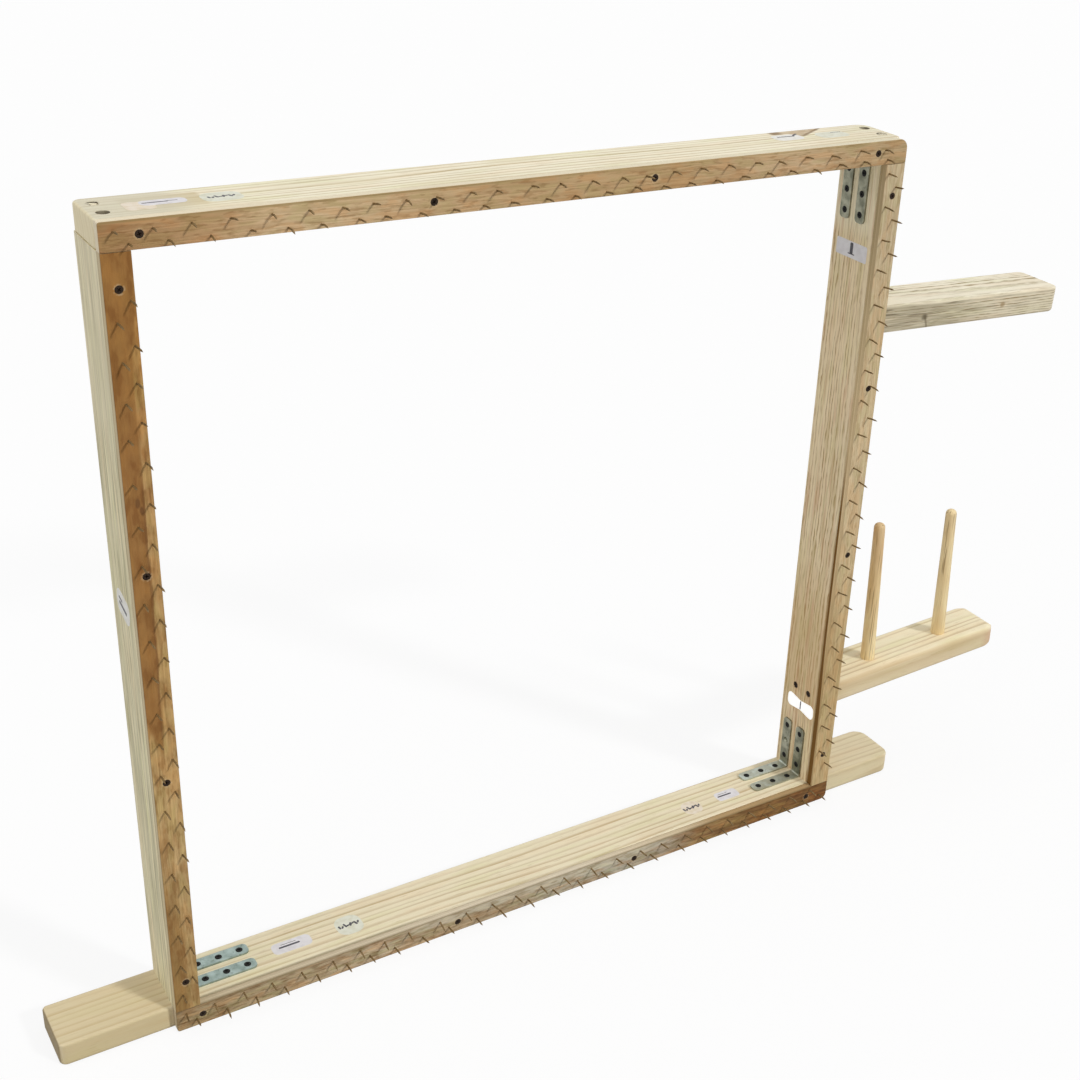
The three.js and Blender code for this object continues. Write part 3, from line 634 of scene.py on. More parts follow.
# The tack strips. Strips of thin plywood, screwed to the fronts of the boards, with the two outer corners
# of the frame rounded. The uprights are cut to stand between the top and bottom strips.
STRIP_WIDE, STRIP_FRONT, STRIP_BACK = 30, -50, -39
STRIP_CORNERS = {"top": (2.5, 12), "bottom": (3, 9)}  # radii of the left and the right corner
GAP = 0.4  # the open joint at each end of an upright strip
STRIP_SCREW_HOLE = [(4.5, 0), (4.4, 0.9), (2.2, 3.2)]
STRIP_SCREWS = {
    "top": [(-461, 985), (-152, 985), (124, 985), (454, 985)],
    "bottom": [(-468, 15), (-123, 15), (154, 15), (461, 15)],
    "left": [(-485, 933), (-485, 622), (-485, 361), (-485, 72)],
    "right": [(485, 929), (485, 669), (485, 419), (485, 83)],
}


def plywood(name, along, bands, edges, seed, screws, accent, grime, line, seam_dirt_and_shade):
    """Rough plywood: a peeled face veneer, its colour in bands along the strip, and layers at the edges. The
    bands are places along the strip, from 0 to 1000, each with its colour."""
    look = Finish(name, along)
    run = look.x + HALF if along == "x" else look.z
    slow = (0.004, 0.02, 0.09)
    sway = look.grain(slow, 2.0, seed)
    place = run / HIGH + (sway - 0.5) * 0.05

    def banded(tones):
        stops = [(at / HIGH, paint(*tone)) for at, *tone in tones]
        return look.add("ShaderNodeValToRGB", {"stops": stops}, {0: place})

    veneer, edges = banded(bands), banded(edges)
    rings = (look.grain(slow, 1.0, seed + 4) * 9).part()
    flame = rings.rise(0.0, 0.75) * rings.fall(0.8, 1.0)
    colour = look.shade(flame * 0.4, veneer, 0.62, 0.53, 0.42)
    fibre = look.grain((0.03, 1.2, 1.6), 3.0, seed + 9)
    colour = look.shade((fibre - 0.42).most(0.0) * 0.9, colour, 0.5, 0.42, 0.34)
    colour = look.shade(sway.rise(0.55, 0.8) * 0.3, colour, 1.35, 1.3, 1.2)
    # Patches that are warmer or more olive, and short dirty smears.
    tint = look.grain((0.028, 0.1, 0.1), 3.0, seed + 13)
    colour = look.shade(tint.rise(0.5, 0.62) * grime, colour, 1.06, 0.9, 0.76)
    colour = look.shade((1 - tint).rise(0.5, 0.62) * grime, colour, 0.86, 0.94, 0.8)
    smear = look.grain((0.06, 0.3, 0.3), 3.0, seed + 23).rise(0.52, 0.66)
    colour = look.shade(smear * grime, colour, 0.6, 0.5, 0.38)
    if accent:
        colour = accent(look, colour)
    # A pale ring of torn fibres round each screw.
    near = look.away(*screws[0])
    for x, z in screws[1:]:
        near = near.least(look.away(x, z))
    torn = near.fall(4.6, 7.0) * look.noise((0.4, 0.4, 0.4), 2.0, seed).rise(0.35, 0.65)
    colour = look.dye(torn * 0.4, colour, 222, 200, 160)
    # The edges show five layers with dark glue lines between them.
    layer = (look.y - STRIP_FRONT) / 2.2
    glue = abs(layer.part() - 0.5).rise(0.36, 0.47)
    crossed = (layer / 2).part().rise(0.49, 0.51)
    plies = look.shade(crossed * 0.3, edges, 0.66, 0.6, 0.5)
    plies = look.shade(glue * 0.4, plies, 0.34, 0.28, 0.2)
    plies = look.shade((fibre - 0.4).most(0.0) * 0.8, plies, 0.5, 0.44, 0.36)
    colour = look.mix(look.y.rise(-49.6, -49.0), colour, plies)
    # The worn front arris has gathered dirt, and where the strip meets the board it is darkened by dirt and painted
    # shade.
    reach, strength, dirt = line
    rim = look.y.rise(-49.97, -49.6) * look.y.fall(STRIP_FRONT + reach * 0.6, STRIP_FRONT + reach * 1.4)
    colour = look.mix(rim * strength, colour, dirt)
    # Dirt and painted shade darken the strip's edge next to the board.
    deep, amount = seam_dirt_and_shade(look)
    colour = look.dye(look.y.rise(-39.8 - deep, -38.8 - deep) * amount, colour, 118, 82, 30)
    return look.feed(colour, 0.68 + fibre * 0.18, fibre * 0.6 + flame * 0.25, 0.3, Specular_IOR_Level=0.3)


def left_wedge(look, colour):
    """Dark heartwood along the outer part of the left strip, which covers its top and ends in a tongue, two
    small knots in it, and a second dark part at the foot. All of it is mottled."""
    line = look.x + 470 + look.z.fall(865, 925) * 9 + (860 - look.z).most(0.0) * 0.012
    line = line + look.noise((0.03, 0.03, 0.012), 2.0, 5.0) * 6 - 3
    dark = line.fall(-2, 2) * (look.z + line * 3).rise(380, 405)
    colour = look.dye(dark * 0.85, colour, 149, 103, 51)
    rim = abs(line).fall(0.4, 2.0) * look.z.rise(390, 420) * look.z.fall(700, 800)
    colour = look.dye(rim * 0.6, colour, 122, 80, 38)
    low = (1 - (look.x + look.noise((0.02, 0.02, 0.012), 2.0, 8.0) * 10).rise(-484, -474)) * look.z.fall(150, 340)
    colour = look.dye(low * 0.7, colour, 140, 103, 52)
    mottle = look.noise((0.09, 0.09, 0.035), 4.0, 14.0)
    colour = look.shade(mottle.rise(0.5, 0.64) * 0.75, colour, 0.72, 0.62, 0.5)
    colour = look.shade((1 - mottle).rise(0.5, 0.64) * 0.6, colour, 1.2, 1.22, 1.2)
    colour = look.shade(look.z.rise(800, 840), colour, 1.05, 1.06, 1.03)
    for knot in ((-487, 707, 2.6, 6), (-483.5, 698, 2.2, 5)):
        colour = look.dye(look.away(*knot).fall(0.6, 1.3) * 0.6, colour, 88, 54, 28)
    return colour


def top_margins(look, colour):
    """Dirt lies along the upper arris, most of it on the left, and the lower edge is browner on the right."""
    upper = look.z.rise(996.6, 998.8) * (0.75 - look.x.rise(-100, 60) * 0.45)
    colour = look.dye(upper, colour, 160, 134, 88)
    olive = look.z.rise(990, 996) * look.noise((0.02, 0.1, 0.1), 2.0, 5.0).rise(0.35, 0.6)
    colour = look.shade(olive * 0.6, colour, 0.98, 1.0, 0.96)
    lower = (1 - (look.z + look.noise((0.03, 0.1, 0.1), 2.0, 9.0) * 8).rise(975, 982)) * look.x.rise(0, 90)
    return look.shade(lower * 0.6, colour, 0.82, 0.76, 0.7)


def bottom_patches(look, colour):
    """The upper half is grey and pale in the middle, and the right end has dark heartwood streaks."""
    middle = look.x.rise(-230, -150) * look.x.fall(170, 230)
    upper = (look.z + look.noise((0.03, 0.1, 0.1), 2.0, 5.0) * 8).rise(21, 27)
    colour = look.dye(upper * (middle * 0.65 + 0.08) * look.x.fall(220, 300), colour, 202, 192, 168)
    brown = 1 - look.x.rise(-40, 20) * look.x.fall(130, 170)
    colour = look.dye((1 - upper) * middle * brown * 0.3, colour, 168, 136, 92)
    rim = look.z.rise(25.5, 28.5) * (1 - middle * 0.8)
    colour = look.shade(rim * 0.95, colour, 0.76, 0.72, 0.68)
    blotch = look.noise((0.045, 0.2, 0.24), 4.0, 21.0)
    colour = look.shade(blotch.rise(0.5, 0.62) * 0.7, colour, 0.68, 0.6, 0.48)
    colour = look.shade((1 - blotch).rise(0.5, 0.62) * 0.5, colour, 1.3, 1.28, 1.2)
    streak = look.noise((0.012, 0.1, 0.16), 3.0, 3.0).rise(0.42, 0.62) * look.x.rise(190, 300)
    return look.dye(streak * 0.6, colour, 96, 60, 32)


def right_seam_dirt_and_shade(look):
    """The strip stands off the stile lower down, and dirt and painted shade darken the gap, widest at the foot."""
    return look.z.fall(130, 300) * 4.2 + 3.6, look.z.fall(470, 600) * 0.85 + 0.15


PLYWOODS = {
    # The face's colours along the strip, the edges' colours, what else marks it, how grimy it is, and
    # its dark lines: the reach, strength and colour of the dirty one at the front arris, and the depth and
    # strength of the dirt and painted shade where the strip meets the board.
    "top": ([(0, 182, 142, 96), (100, 206, 169, 124), (180, 226, 198, 156),
             (400, 210, 178, 134), (650, 204, 172, 126), (820, 218, 189, 149),
             (1000, 200, 173, 131)], [(0, 252, 240, 212), (1000, 244, 236, 210)],
            top_margins, 0.55, (0.8, 0.3, paint(190, 166, 122)), lambda look: (0.8, 0.15)),
    "bottom": ([(0, 172, 150, 112), (270, 201, 182, 153), (450, 189, 175, 150),
                (560, 200, 192, 172), (690, 190, 184, 170), (760, 176, 144, 98),
                (860, 160, 124, 74), (1000, 140, 100, 56)],
               [(0, 212, 196, 166), (560, 236, 224, 200), (740, 222, 204, 170),
                (800, 190, 160, 116)],
               bottom_patches, 0.8, (2.5, 0.65, paint(120, 102, 66)), lambda look: (1.4, 0.3)),
    "left": ([(90, 186, 155, 104), (250, 208, 177, 126), (440, 196, 161, 105),
              (575, 198, 162, 107), (725, 197, 157, 103), (865, 190, 148, 88)],
             [(0, 226, 212, 176), (1000, 222, 206, 170)],
             left_wedge, 0.5, (1.8, 0.4, paint(120, 88, 50)), lambda look: (1.6, 0.3)),
    "right": ([(90, 212, 187, 140), (250, 207, 181, 133), (440, 221, 199, 158),
               (575, 225, 204, 165), (725, 221, 199, 159), (900, 217, 198, 162)],
              [(60, 206, 176, 128), (200, 217, 184, 130), (500, 240, 213, 168),
               (700, 226, 202, 158), (900, 200, 178, 138)],
              None, 0.42, (1.8, 0.2, paint(140, 112, 70)), right_seam_dirt_and_shade),
}
UPRIGHT = (STRIP_WIDE + GAP, HIGH - STRIP_WIDE - GAP)
STRIP_BOXES = {
    "top": ((-HALF, HALF), (STRIP_FRONT, STRIP_BACK), (HIGH - STRIP_WIDE, HIGH)),
    "bottom": ((-HALF, HALF), (STRIP_FRONT, STRIP_BACK), (0, STRIP_WIDE)),
    "left": ((-HALF, STRIP_WIDE - HALF), (STRIP_FRONT, STRIP_BACK), UPRIGHT),
    "right": ((HALF - STRIP_WIDE, HALF), (STRIP_FRONT, STRIP_BACK), UPRIGHT),
}
for seed, (side, box) in enumerate(STRIP_BOXES.items()):
    strip = new_block(box)
    along = "x" if side in ("top", "bottom") else "z"
    if along == "x":
        outer = HIGH if side == "top" else 0
        for end, radius in zip((-HALF, HALF), STRIP_CORNERS[side]):
            place = Vector((end, (STRIP_FRONT + STRIP_BACK) / 2, outer))
            corner = run_along(strip, 1, lambda middle: (middle - place).length < 1)
            round_over(strip, corner, radius, 8)
    round_over(strip, rim_at(strip, 1, STRIP_FRONT), 0.8, 2)
    for x, z in STRIP_SCREWS[side]:
        bore(strip, (x, STRIP_FRONT, z), (0, -1, 0), (1, 0, 0) if along == "x" else (0, 0, 1), STRIP_SCREW_HOLE)
    bands, edges, *rest = PLYWOODS[side]
    wood = plywood(f"{side}_plywood_veneer", along, bands, edges, 3.1 * seed + 1, STRIP_SCREWS[side], *rest)
    make_piece(strip, f"sawn_{side}_strip", [wood], f"{side}_plywood", f"{side}_tack_strip")

# The nails. Thin brown steel nails, hammered through the plywood from behind by hand, in two staggered rows
# a strip, so that their spacing wanders and their points lean and bend to slightly different angles.
NAIL_RADIUS, NAIL_LONG, NAIL_POINT = 1.15, 17.8, 4.0
NAIL_ROWS = (10.5, 24.5)  # the outer and the inner row, from the frame's outer edge
NAIL_PLACES = {
    # The places of the outer and of the inner row, from the left end of the frame or from its foot.
    "top": ([14, 52, 90, 129, 171, 210, 246, 279, 316, 351, 391, 422, 465, 500, 541, 580, 612, 649, 687, 726, 765,
             800, 840, 880, 925, 965],
            [28, 66, 108, 149, 187, 222, 263, 292, 332, 371, 406, 440, 483, 519, 560, 598, 636, 672, 709, 747, 784,
             818, 854, 893, 932, 970]),
    "bottom": ([24, 62, 99, 136, 179, 219, 251, 286, 326, 364, 405, 440, 483, 522, 561, 600, 643, 681, 729, 768, 805,
                843, 880, 917, 954, 985],
               [12, 47, 84, 120, 159, 201, 238, 272, 306, 351, 389, 428, 464, 503, 539, 583, 624, 664, 699, 740, 778,
                815, 853, 890, 928, 966]),
    "left": ([54, 98, 144, 190, 235, 280, 324, 372, 414, 453, 500, 545, 590, 635, 680, 728, 777, 816, 859, 900],
             [77, 122, 167, 212, 258, 303, 347, 390, 431, 477, 521, 568, 610, 658, 704, 750, 794, 836, 875, 921]),
    "right": ([67, 109, 156, 202, 248, 290, 337, 383, 434, 482, 531, 578, 626, 672, 718, 763, 809, 854, 898, 940],
              [92, 137, 175, 222, 273, 313, 362, 406, 458, 506, 555, 605, 654, 697, 740, 787, 834, 873, 916, 958]),
}
# How each strip's nails lean: sideways at one end and at the other, upwards, and how far they bend down.
NAIL_LEANS = {"top": (0.0, -0.02, 0.14, 0.3), "bottom": (-0.06, 0.14, 0.02, 0.12), "left": (0.05, 0.05, 0.06, 0.16),
              "right": (0.1, 0.06, 0.03, 0.06)}


def nail_finish():
    look = Finish("nail_steel")
    rust = look.noise((0.3, 0.3, 0.3), 3.0, 2.0).rise(0.4, 0.7)
    colour = look.dye(rust, paint(134, 110, 70), 102, 80, 46)
    return look.feed(colour, 0.5 + rust * 0.25, rust, 0.05, Metallic=0.2)


def add_nail(bm, base, lean, bend, long):
    """A nail that stands out of the wood at its base: a shank with a slight bend in it, then a point."""
    out = Vector((lean[0], -1, lean[1])).normalized()
    sunk = 3  # how deep it starts in the wood
    place = Matrix.Translation(Vector(base) - out * sunk) @ facing(out)
    made = bmesh.ops.create_circle(bm, cap_ends=True, segments=8, radius=NAIL_RADIUS, matrix=place)["verts"]
    end = [made[0].link_faces[0]]
    straight = 0.45 * long
    # Three lengths: how long each is, how much of its width it keeps and its share of the bend.
    lengths = ((sunk + straight, 1, 0), (long - straight - NAIL_POINT, 0.97, 0.6), (NAIL_POINT, 0.12, 1))
    for step, keep, share in lengths:
        drawn = bmesh.ops.extrude_discrete_faces(bm, faces=end)["faces"]
        verts = drawn[0].verts[:]
        bmesh.ops.translate(bm, vec=(out + Vector((0, 0, bend * share))).normalized() * step, verts=verts)
        middle = drawn[0].calc_center_median()
        bmesh.ops.scale(bm, vec=(keep, keep, keep), space=Matrix.Translation(-middle), verts=verts)
        end = drawn


steel = nail_finish()
hand = random.Random(11)
for side, rows in NAIL_PLACES.items():
    nails = bmesh.new()
    for row, inward in zip(rows, NAIL_ROWS):
        for run in row:
            across = inward + hand.uniform(-1.3, 1.3)
            first, last, up, sag = NAIL_LEANS[side]
            lean = (first + (last - first) * run / HIGH + hand.uniform(-0.1, 0.1), up + hand.uniform(-0.1, 0.1))
            if side in ("top", "bottom"):
                base = (run - HALF, STRIP_FRONT, HIGH - across if side == "top" else across)
            else:
                base = (-HALF + across if side == "left" else HALF - across, STRIP_FRONT, run)
            add_nail(nails, base, lean, hand.uniform(-0.2, 0.2) - sag, NAIL_LONG - hand.uniform(0, 1.4))
    make_piece(nails, f"{side}_strip_nails", [steel], "zinc", crease=60)

# The strip screws. Black countersunk wood screws, four to a strip, driven a hair below the plywood.
for side, screws in STRIP_SCREWS.items():
    heads = bmesh.new()
    for x, z in screws:
        add_screw(heads, (x, STRIP_FRONT + 0.45, z), (0, -1, 0), 4.25, 0.15, 2.0, turns.uniform(0, 1.5), 10)
    nodes = [f"{side}_strip_screw_{number}" for number in (1, 2, 3, 4)]
    make_piece(heads, f"{side}_strip_screws", [black], "black_screw", *nodes)

# The yarn guide arm. A pine board glued and dowelled to the right stile's outer face, drooping a little,
# with knots and a grey stain. Its free end is rounded off.
def outrigger(reach, thick, middle, tilt, corner, edge, over, under):
    """A board that stands out of the right stile, tilted about the place where it meets it. The edge is the
    radius of its long edges, and over and under are those of its free end, seen from the front."""
    half = thick / 2
    bm = new_block(((-40, reach), (-DEEP, DEEP), (-half, half)))
    round_over(bm, run_along(bm, 2, lambda place: place.x > 0), corner, 10)
    for height in (-half, half):
        round_over(bm, rim_at(bm, 2, height), edge, 5)
    # The free end is rounded again, seen from the front: cuts across it give the vertices to move.
    for step in range(1, 9):
        cut(bm, (reach - max(over, under) * (1 - math.sin(step * math.pi / 18)), 0, 0), (1, 0, 0))
    for vert in bm.verts:
        for radius, sign in ((over, 1), (under, -1)):
            past = vert.co.x - (reach - radius)
            if past > 0:
                most = half - radius + math.sqrt(max(radius ** 2 - past ** 2, 0))
                if vert.co.z * sign > most:
                    vert.co.z = most * sign
    turn = Matrix.Translation((HALF, 0, middle)) @ Matrix.Rotation(-math.radians(tilt), 4, "Y")
    bmesh.ops.transform(bm, matrix=turn, verts=bm.verts[:])
    cut(bm, (HALF, 0, 0), (1, 0, 0), clear_inner=True)
    bmesh.ops.holes_fill(bm, edges=bm.edges[:], sides=0)
    return bm


def arm_stain(look, colour):
    """Painted shade over the front, grey streaks on it, most of them near the stile, and two knots in it."""
    front = look.y.fall(-39, -36)
    # Painted shade: the whole front face is darker than the top.
    colour = look.shade(front, colour, 0.93, 0.9, 0.84)
    near = 1 - look.x.rise(110, 200) * 0.75
    streak = look.noise((0.01, 0.1, 0.2), 3.0, 7.0).rise(0.3, 0.6)
    colour = look.dye(front * near * (streak * 0.6 + 0.15), colour, 170, 158, 130)
    dark = look.noise((0.014, 0.2, 0.34), 3.0, 2.0).rise(0.5, 0.66)
    colour = look.dye(front * (near * 0.7 + 0.15) * dark, colour, 126, 112, 86)
    # A cracked grey knot with its crack down to the arris, and a small brown one.
    wobble = look.noise((0.15, 0.15, 0.15), 2.0, 3.0) * 0.8
    crack = abs(look.x - 80 + look.z * 0.35).fall(0.8, 2.6) * look.z.fall(-3, 2)
    colour = look.dye(front * crack * 0.6, colour, 112, 98, 72)
    for x, z, size, tone, depth in ((80, -2, 5, (96, 84, 62), 0.75), (224, 2, 4.5, (158, 128, 84), 0.7)):
        knot = look.away(x, z, size * 1.2, size) + wobble
        colour = look.dye(front * knot.fall(0.7, 1.7) * depth, colour, *tone)
    return colour


ARM_REACH, ARM_THICK, ARM_MIDDLE, ARM_TILT = 334, 37, 758, -2.4
arm = outrigger(ARM_REACH, ARM_THICK, ARM_MIDDLE, ARM_TILT, corner=14, edge=4, over=6, under=18)
arm_box = ((-2, ARM_REACH), (-DEEP, DEEP), (-ARM_THICK / 2, ARM_THICK / 2))
arm_pine = pine("guide_arm_pine", arm_box, "x", (-25, -62), 3.8, paint(255, 248, 226), paint(160, 138, 94), 12.4,
                contrast=1.1, wander=4, ripple=1.6, stain=arm_stain, pivot=(HALF, 0, ARM_MIDDLE), tilt=ARM_TILT)
make_piece(arm, "rounded_guide_arm", [arm_pine], "pine", "yarn_guide_arm")

# The arm's dowels. Two turned hardwood pins, glued into the stile and the arm, hidden once they are home.
dowel_wood = pine("dowel_birch", ((470, 530), (-25, 25), (750, 766)), "x", (0, 700), 2.5, paint(218, 188, 136),
                  paint(190, 154, 100), 4.0)
for row in ("front", "back"):
    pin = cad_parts[f"guide_arm_dowel_{row}"]
    pin.data.materials.clear()
    pin.data.materials.append(dowel_wood)

# The yarn shelf. A short pine board screwed on through the right stile, rising a little, with every edge
# of its free end well rounded by sanding.
def shelf_stain(look, colour):
    """The front carries a little painted shade, and the end grain of the free end has a warm, reddish tint."""
    front = look.y.fall(-38, -33)
    # Painted shade: the front face is darker than the top.
    colour = look.dye(front * 0.45, colour, 208, 178, 130)
    end = (look.x + look.noise((0.08, 0.08, 0.08), 2.0, 3.0) * 8).rise(296, 324) * look.z.fall(8, 15)
    return look.dye(end * 0.6, colour, 208, 160, 126)


SHELF_REACH, SHELF_THICK, SHELF_MIDDLE, SHELF_TILT = 332, 35, 177, 2.6
shelf = outrigger(SHELF_REACH, SHELF_THICK, SHELF_MIDDLE, SHELF_TILT, corner=28, edge=8, over=18, under=16)
shelf_box = ((-2, SHELF_REACH), (-DEEP, DEEP), (-SHELF_THICK / 2, SHELF_THICK / 2))
shelf_pine = pine("yarn_shelf_pine", shelf_box, "x", (130, -60), 9.2, paint(253, 242, 210), paint(200, 172, 122),
                  15.8, contrast=0.8, wander=12, stain=shelf_stain, pivot=(HALF, 0, SHELF_MIDDLE), tilt=SHELF_TILT)
make_piece(shelf, "rounded_yarn_shelf", [shelf_pine], "pine", "yarn_shelf")

# The shelf's screws. Two black countersunk screws, put in from the stile's inner face.
heads = bmesh.new()
for y, z in SHELF_SCREWS:
    add_screw(heads, (HALF - BOARD + 0.4, y, z), (-1, 0, 0), 4.8, 0.15, 2.5, turns.uniform(0, 1.5), 60)
make_piece(heads, "yarn_shelf_screws", [black], "black_screw", "yarn_shelf_screw_front", "yarn_shelf_screw_back")

# The two yarn spindles. Pegs turned from a warm, close-grained wood, tapering to a rounded tip, and glued
# by a tenon into the shelf.
def spindle_finish(name, seed, red):
    look = Finish(name)
    fibre = look.noise((0.9, 0.9, 0.02), 3.0, seed)
    cloud = look.noise((0.05, 0.05, 0.012), 2.0, seed + 4)
    turned = look.noise((0.02, 0.02, 0.8), 2.0, seed + 8)
    colour = look.dye(cloud.rise(0.3, 0.7), paint(254, 234, 184), 238, 210, 156)
    colour = look.dye((fibre - 0.4).most(0.0) * 1.1, colour, 186, 150, 98)
    colour = look.dye(look.z.rise(300, 420) * (cloud * 0.6 + 0.15) * red, colour, 206, 158, 112)
    split = look.noise((0.5, 0.5, 0.012), 1.0, seed + 2).rise(0.6, 0.7)
    colour = look.dye(split * 0.7, colour, 150, 118, 72)
    return look.feed(colour, 0.5 + fibre * 0.2, turned * 0.5 + fibre * 0.5, 0.2)


SPINDLE_LINE = -4  # across the shelf, a little in front of its middle
SPINDLES = (
    # Its place along the shelf, its height over it, a seed and how reddish its top is.
    ("inner", 93, 229, 2.0, 1.0),
    ("outer", 234, 214, 7.0, 0.35),
)
rise = math.radians(SHELF_TILT)
for name, along, high, seed, red in SPINDLES:
    peg = bmesh.new()
    # Radius and height, from the foot of the tenon up to where the tip begins, then the rounded tip.
    outline = [(8, -20), (8, -0.5), (10.4, -0.5), (10.75, 1.2), (10.5, 8), (8.3, high - 9)]
    for step in range(9):
        angle = step * math.pi / 16
        outline.append((8.2 * math.cos(angle) ** 0.75, high - 7 + 7 * math.sin(angle)))
    drawn = [peg.verts.new((max(radius, 0.0), 0, height)) for radius, height in outline]
    edges = [peg.edges.new(pair) for pair in zip(drawn, drawn[1:])]
    bmesh.ops.spin(peg, geom=drawn + edges, cent=(0, 0, 0), axis=(0, 0, 1), angle=2 * math.pi, steps=32,
                   use_merge=True)
    bmesh.ops.remove_doubles(peg, verts=peg.verts[:], dist=0.01)
    bmesh.ops.holes_fill(peg, edges=peg.edges[:], sides=0)
    top = SHELF_THICK / 2
    foot = Vector((HALF + along * math.cos(rise) - top * math.sin(rise), SPINDLE_LINE,
                   SHELF_MIDDLE + along * math.sin(rise) + top * math.cos(rise)))
    stand = Matrix.Translation(foot) @ Matrix.Rotation(-rise, 4, "Y")
    bmesh.ops.transform(peg, matrix=stand, verts=peg.verts[:])
    wood = spindle_finish(f"{name}_spindle_wood", seed, red)
    make_piece(peg, f"turned_spindle_{name}", [wood], "dowel_wood", f"yarn_spindle_{name}", crease=50)

# The labels. Plain paper stickers that mark the boards, pressed on by hand and left bare but for a short
# pen stroke, some of them half rubbed away.
def paper_finish(name, ground, worn):
    look = Finish(name)
    mottle = look.noise((0.12, 0.12, 0.12), 3.0, 5.0)
    colour = look.mix(mottle.rise(0.35, 0.75), ground, worn)
    return look.feed(colour, 0.5 + mottle * 0.2, mottle, 0.05)


def pen_finish():
    look = Finish("pen_stroke")
    thin = look.noise((0.5, 0.5, 0.5), 2.0, 1.0)
    return look.feed(look.dye(thin, paint(44, 44, 50), 96, 92, 98), 0.5 + thin * 0.1)


def add_plate(bm, place, size, corner, across, up, thick, waist, turn, finish):
    """A thin plate with rounded corners, lying on a face. The waist pinches its middle."""
    plate = new_block(((-size[0] / 2, size[0] / 2), (-size[1] / 2, size[1] / 2), (0, thick)))
    cut(plate, (0, 0, 0), (1, 0, 0))
    middle = [v for v in plate.verts if abs(v.co.x) < 1e-3]
    bmesh.ops.scale(plate, vec=(1, waist, 1), verts=middle)
    round_over(plate, run_along(plate, 2, lambda point: abs(point.x) > 1), corner, 5)
    across, up = Vector(across), Vector(up)
    axes = Matrix((across, up, across.cross(up))).transposed().to_4x4()
    put = Matrix.Translation(place) @ axes @ Matrix.Rotation(math.radians(turn), 4, "Z")
    bmesh.ops.transform(plate, matrix=put, verts=plate.verts[:])
    for face in plate.faces:
        face.material_index = finish
    join_in(bm, plate)


paper = paper_finish("label_paper", paint(240, 238, 232), paint(228, 224, 214))
lilac = paper_finish("label_paper_lilac", paint(232, 229, 231), paint(220, 216, 218))
ink = pen_finish()
faint = paper_finish("label_paper_faint", paint(230, 230, 214), paint(216, 214, 192))
ghost = paper_finish("label_paper_ghost", paint(238, 226, 208), paint(226, 210, 182))
bright = paper_finish("label_paper_bright", paint(255, 255, 255), paint(248, 248, 248))
# The brightest label glows a little, painted light that makes it look brighter than lit paper can.
glowing_label_inputs = bright.node_tree.nodes["Principled BSDF"].inputs
glowing_label_inputs["Emission Color"].default_value = (1, 1, 1, 1)
glowing_label_inputs["Emission Strength"].default_value = 0.42
PAPER, LILAC, INK, FAINT, GHOST = range(5)
BRIGHT = 3
PAPER_THICK, INK_THICK = 0.12, 0.04
ON_PAPER = 0.11  # where a pen stroke begins, over the place of its label
FLAT, BACK_UP, TO_FRONT, UP = (1, 0, 0), (0, 1, 0), (0, -1, 0), (0, 0, 1)
SCRIBBLE = [
    # Place on the label, length and width, and lean of each pen stroke.
    ((-13, 0), (2.6, 6.5), 10), ((-9.2, -1), (2.6, 5), -30), ((-5.2, 1), (2.6, 8), 16), ((-1.6, -0.5), (5, 2.4), 12),
    ((2.2, 0.5), (2.8, 7), -14), ((5.4, 1.5), (4.4, 2.4), 30), ((9, 0), (2.8, 7.5), 20), ((12.8, 1), (2.6, 5), -24),
]
LABELS = {
    # Place, length and width, corner, waist and finish of each label. Then its pen strokes.
    "top_rail": [
        ((-447, -7, TOP + 0.01), (30, 33), 9, 0.8, GHOST, []),
        ((-421.5, -1, TOP + 0.05), (47, 18), 7, 1.0, LILAC, [((-8, 0.3), (26, 2.6), 0), ((9, 1.2), (12, 1.4), 0)]),
        ((-363, -3, TOP + 0.02), (42, 32), 12, 1.0, FAINT, SCRIBBLE),
        ((355, 8, TOP + 0.02), (42, 26), 10, 1.0, PAPER, [((0, 4), (26, 2.8), -3), ((17, 9), (13, 3), 35)]),
        ((420, 2, TOP + 0.02), (46, 27), 11, 1.0, FAINT, [((12, 9), (16, 1.6), 0)]),
    ],
    "bottom_rail": [
        ((-335, -3, 31.02), (52, 21), 7, 1.0, LILAC, [((-3, 5), (20, 0.8), 0), ((-3, 0.5), (28, 3.0), 0)]),
        ((-257, -3.5, 31.02), (35, 36), 13, 1.0, FAINT, SCRIBBLE),
        ((280, -8, 31.02), (31, 30), 13, 1.0, GHOST, SCRIBBLE),
        ((344, -6, 31.02), (38, 20), 5, 1.0, LILAC, [((-5, 5), (16, 0.8), 0), ((-4, 0.5), (24, 2.8), 0)]),
    ],
}
for rail, labels in LABELS.items():
    sheet = bmesh.new()
    for place, size, corner, waist, finish, strokes in labels:
        add_plate(sheet, place, size, corner, FLAT, BACK_UP, PAPER_THICK, waist, 0, finish)
        for (dx, dy), stroke, lean in strokes:
            spot = Vector(place) + Vector((dx, dy, ON_PAPER))
            add_plate(sheet, spot, stroke, stroke[1] * 0.4, FLAT, BACK_UP, INK_THICK, 1.0, lean, INK)
    make_piece(sheet, f"{rail}_labels", [paper, lilac, ink, faint, ghost], "pine")

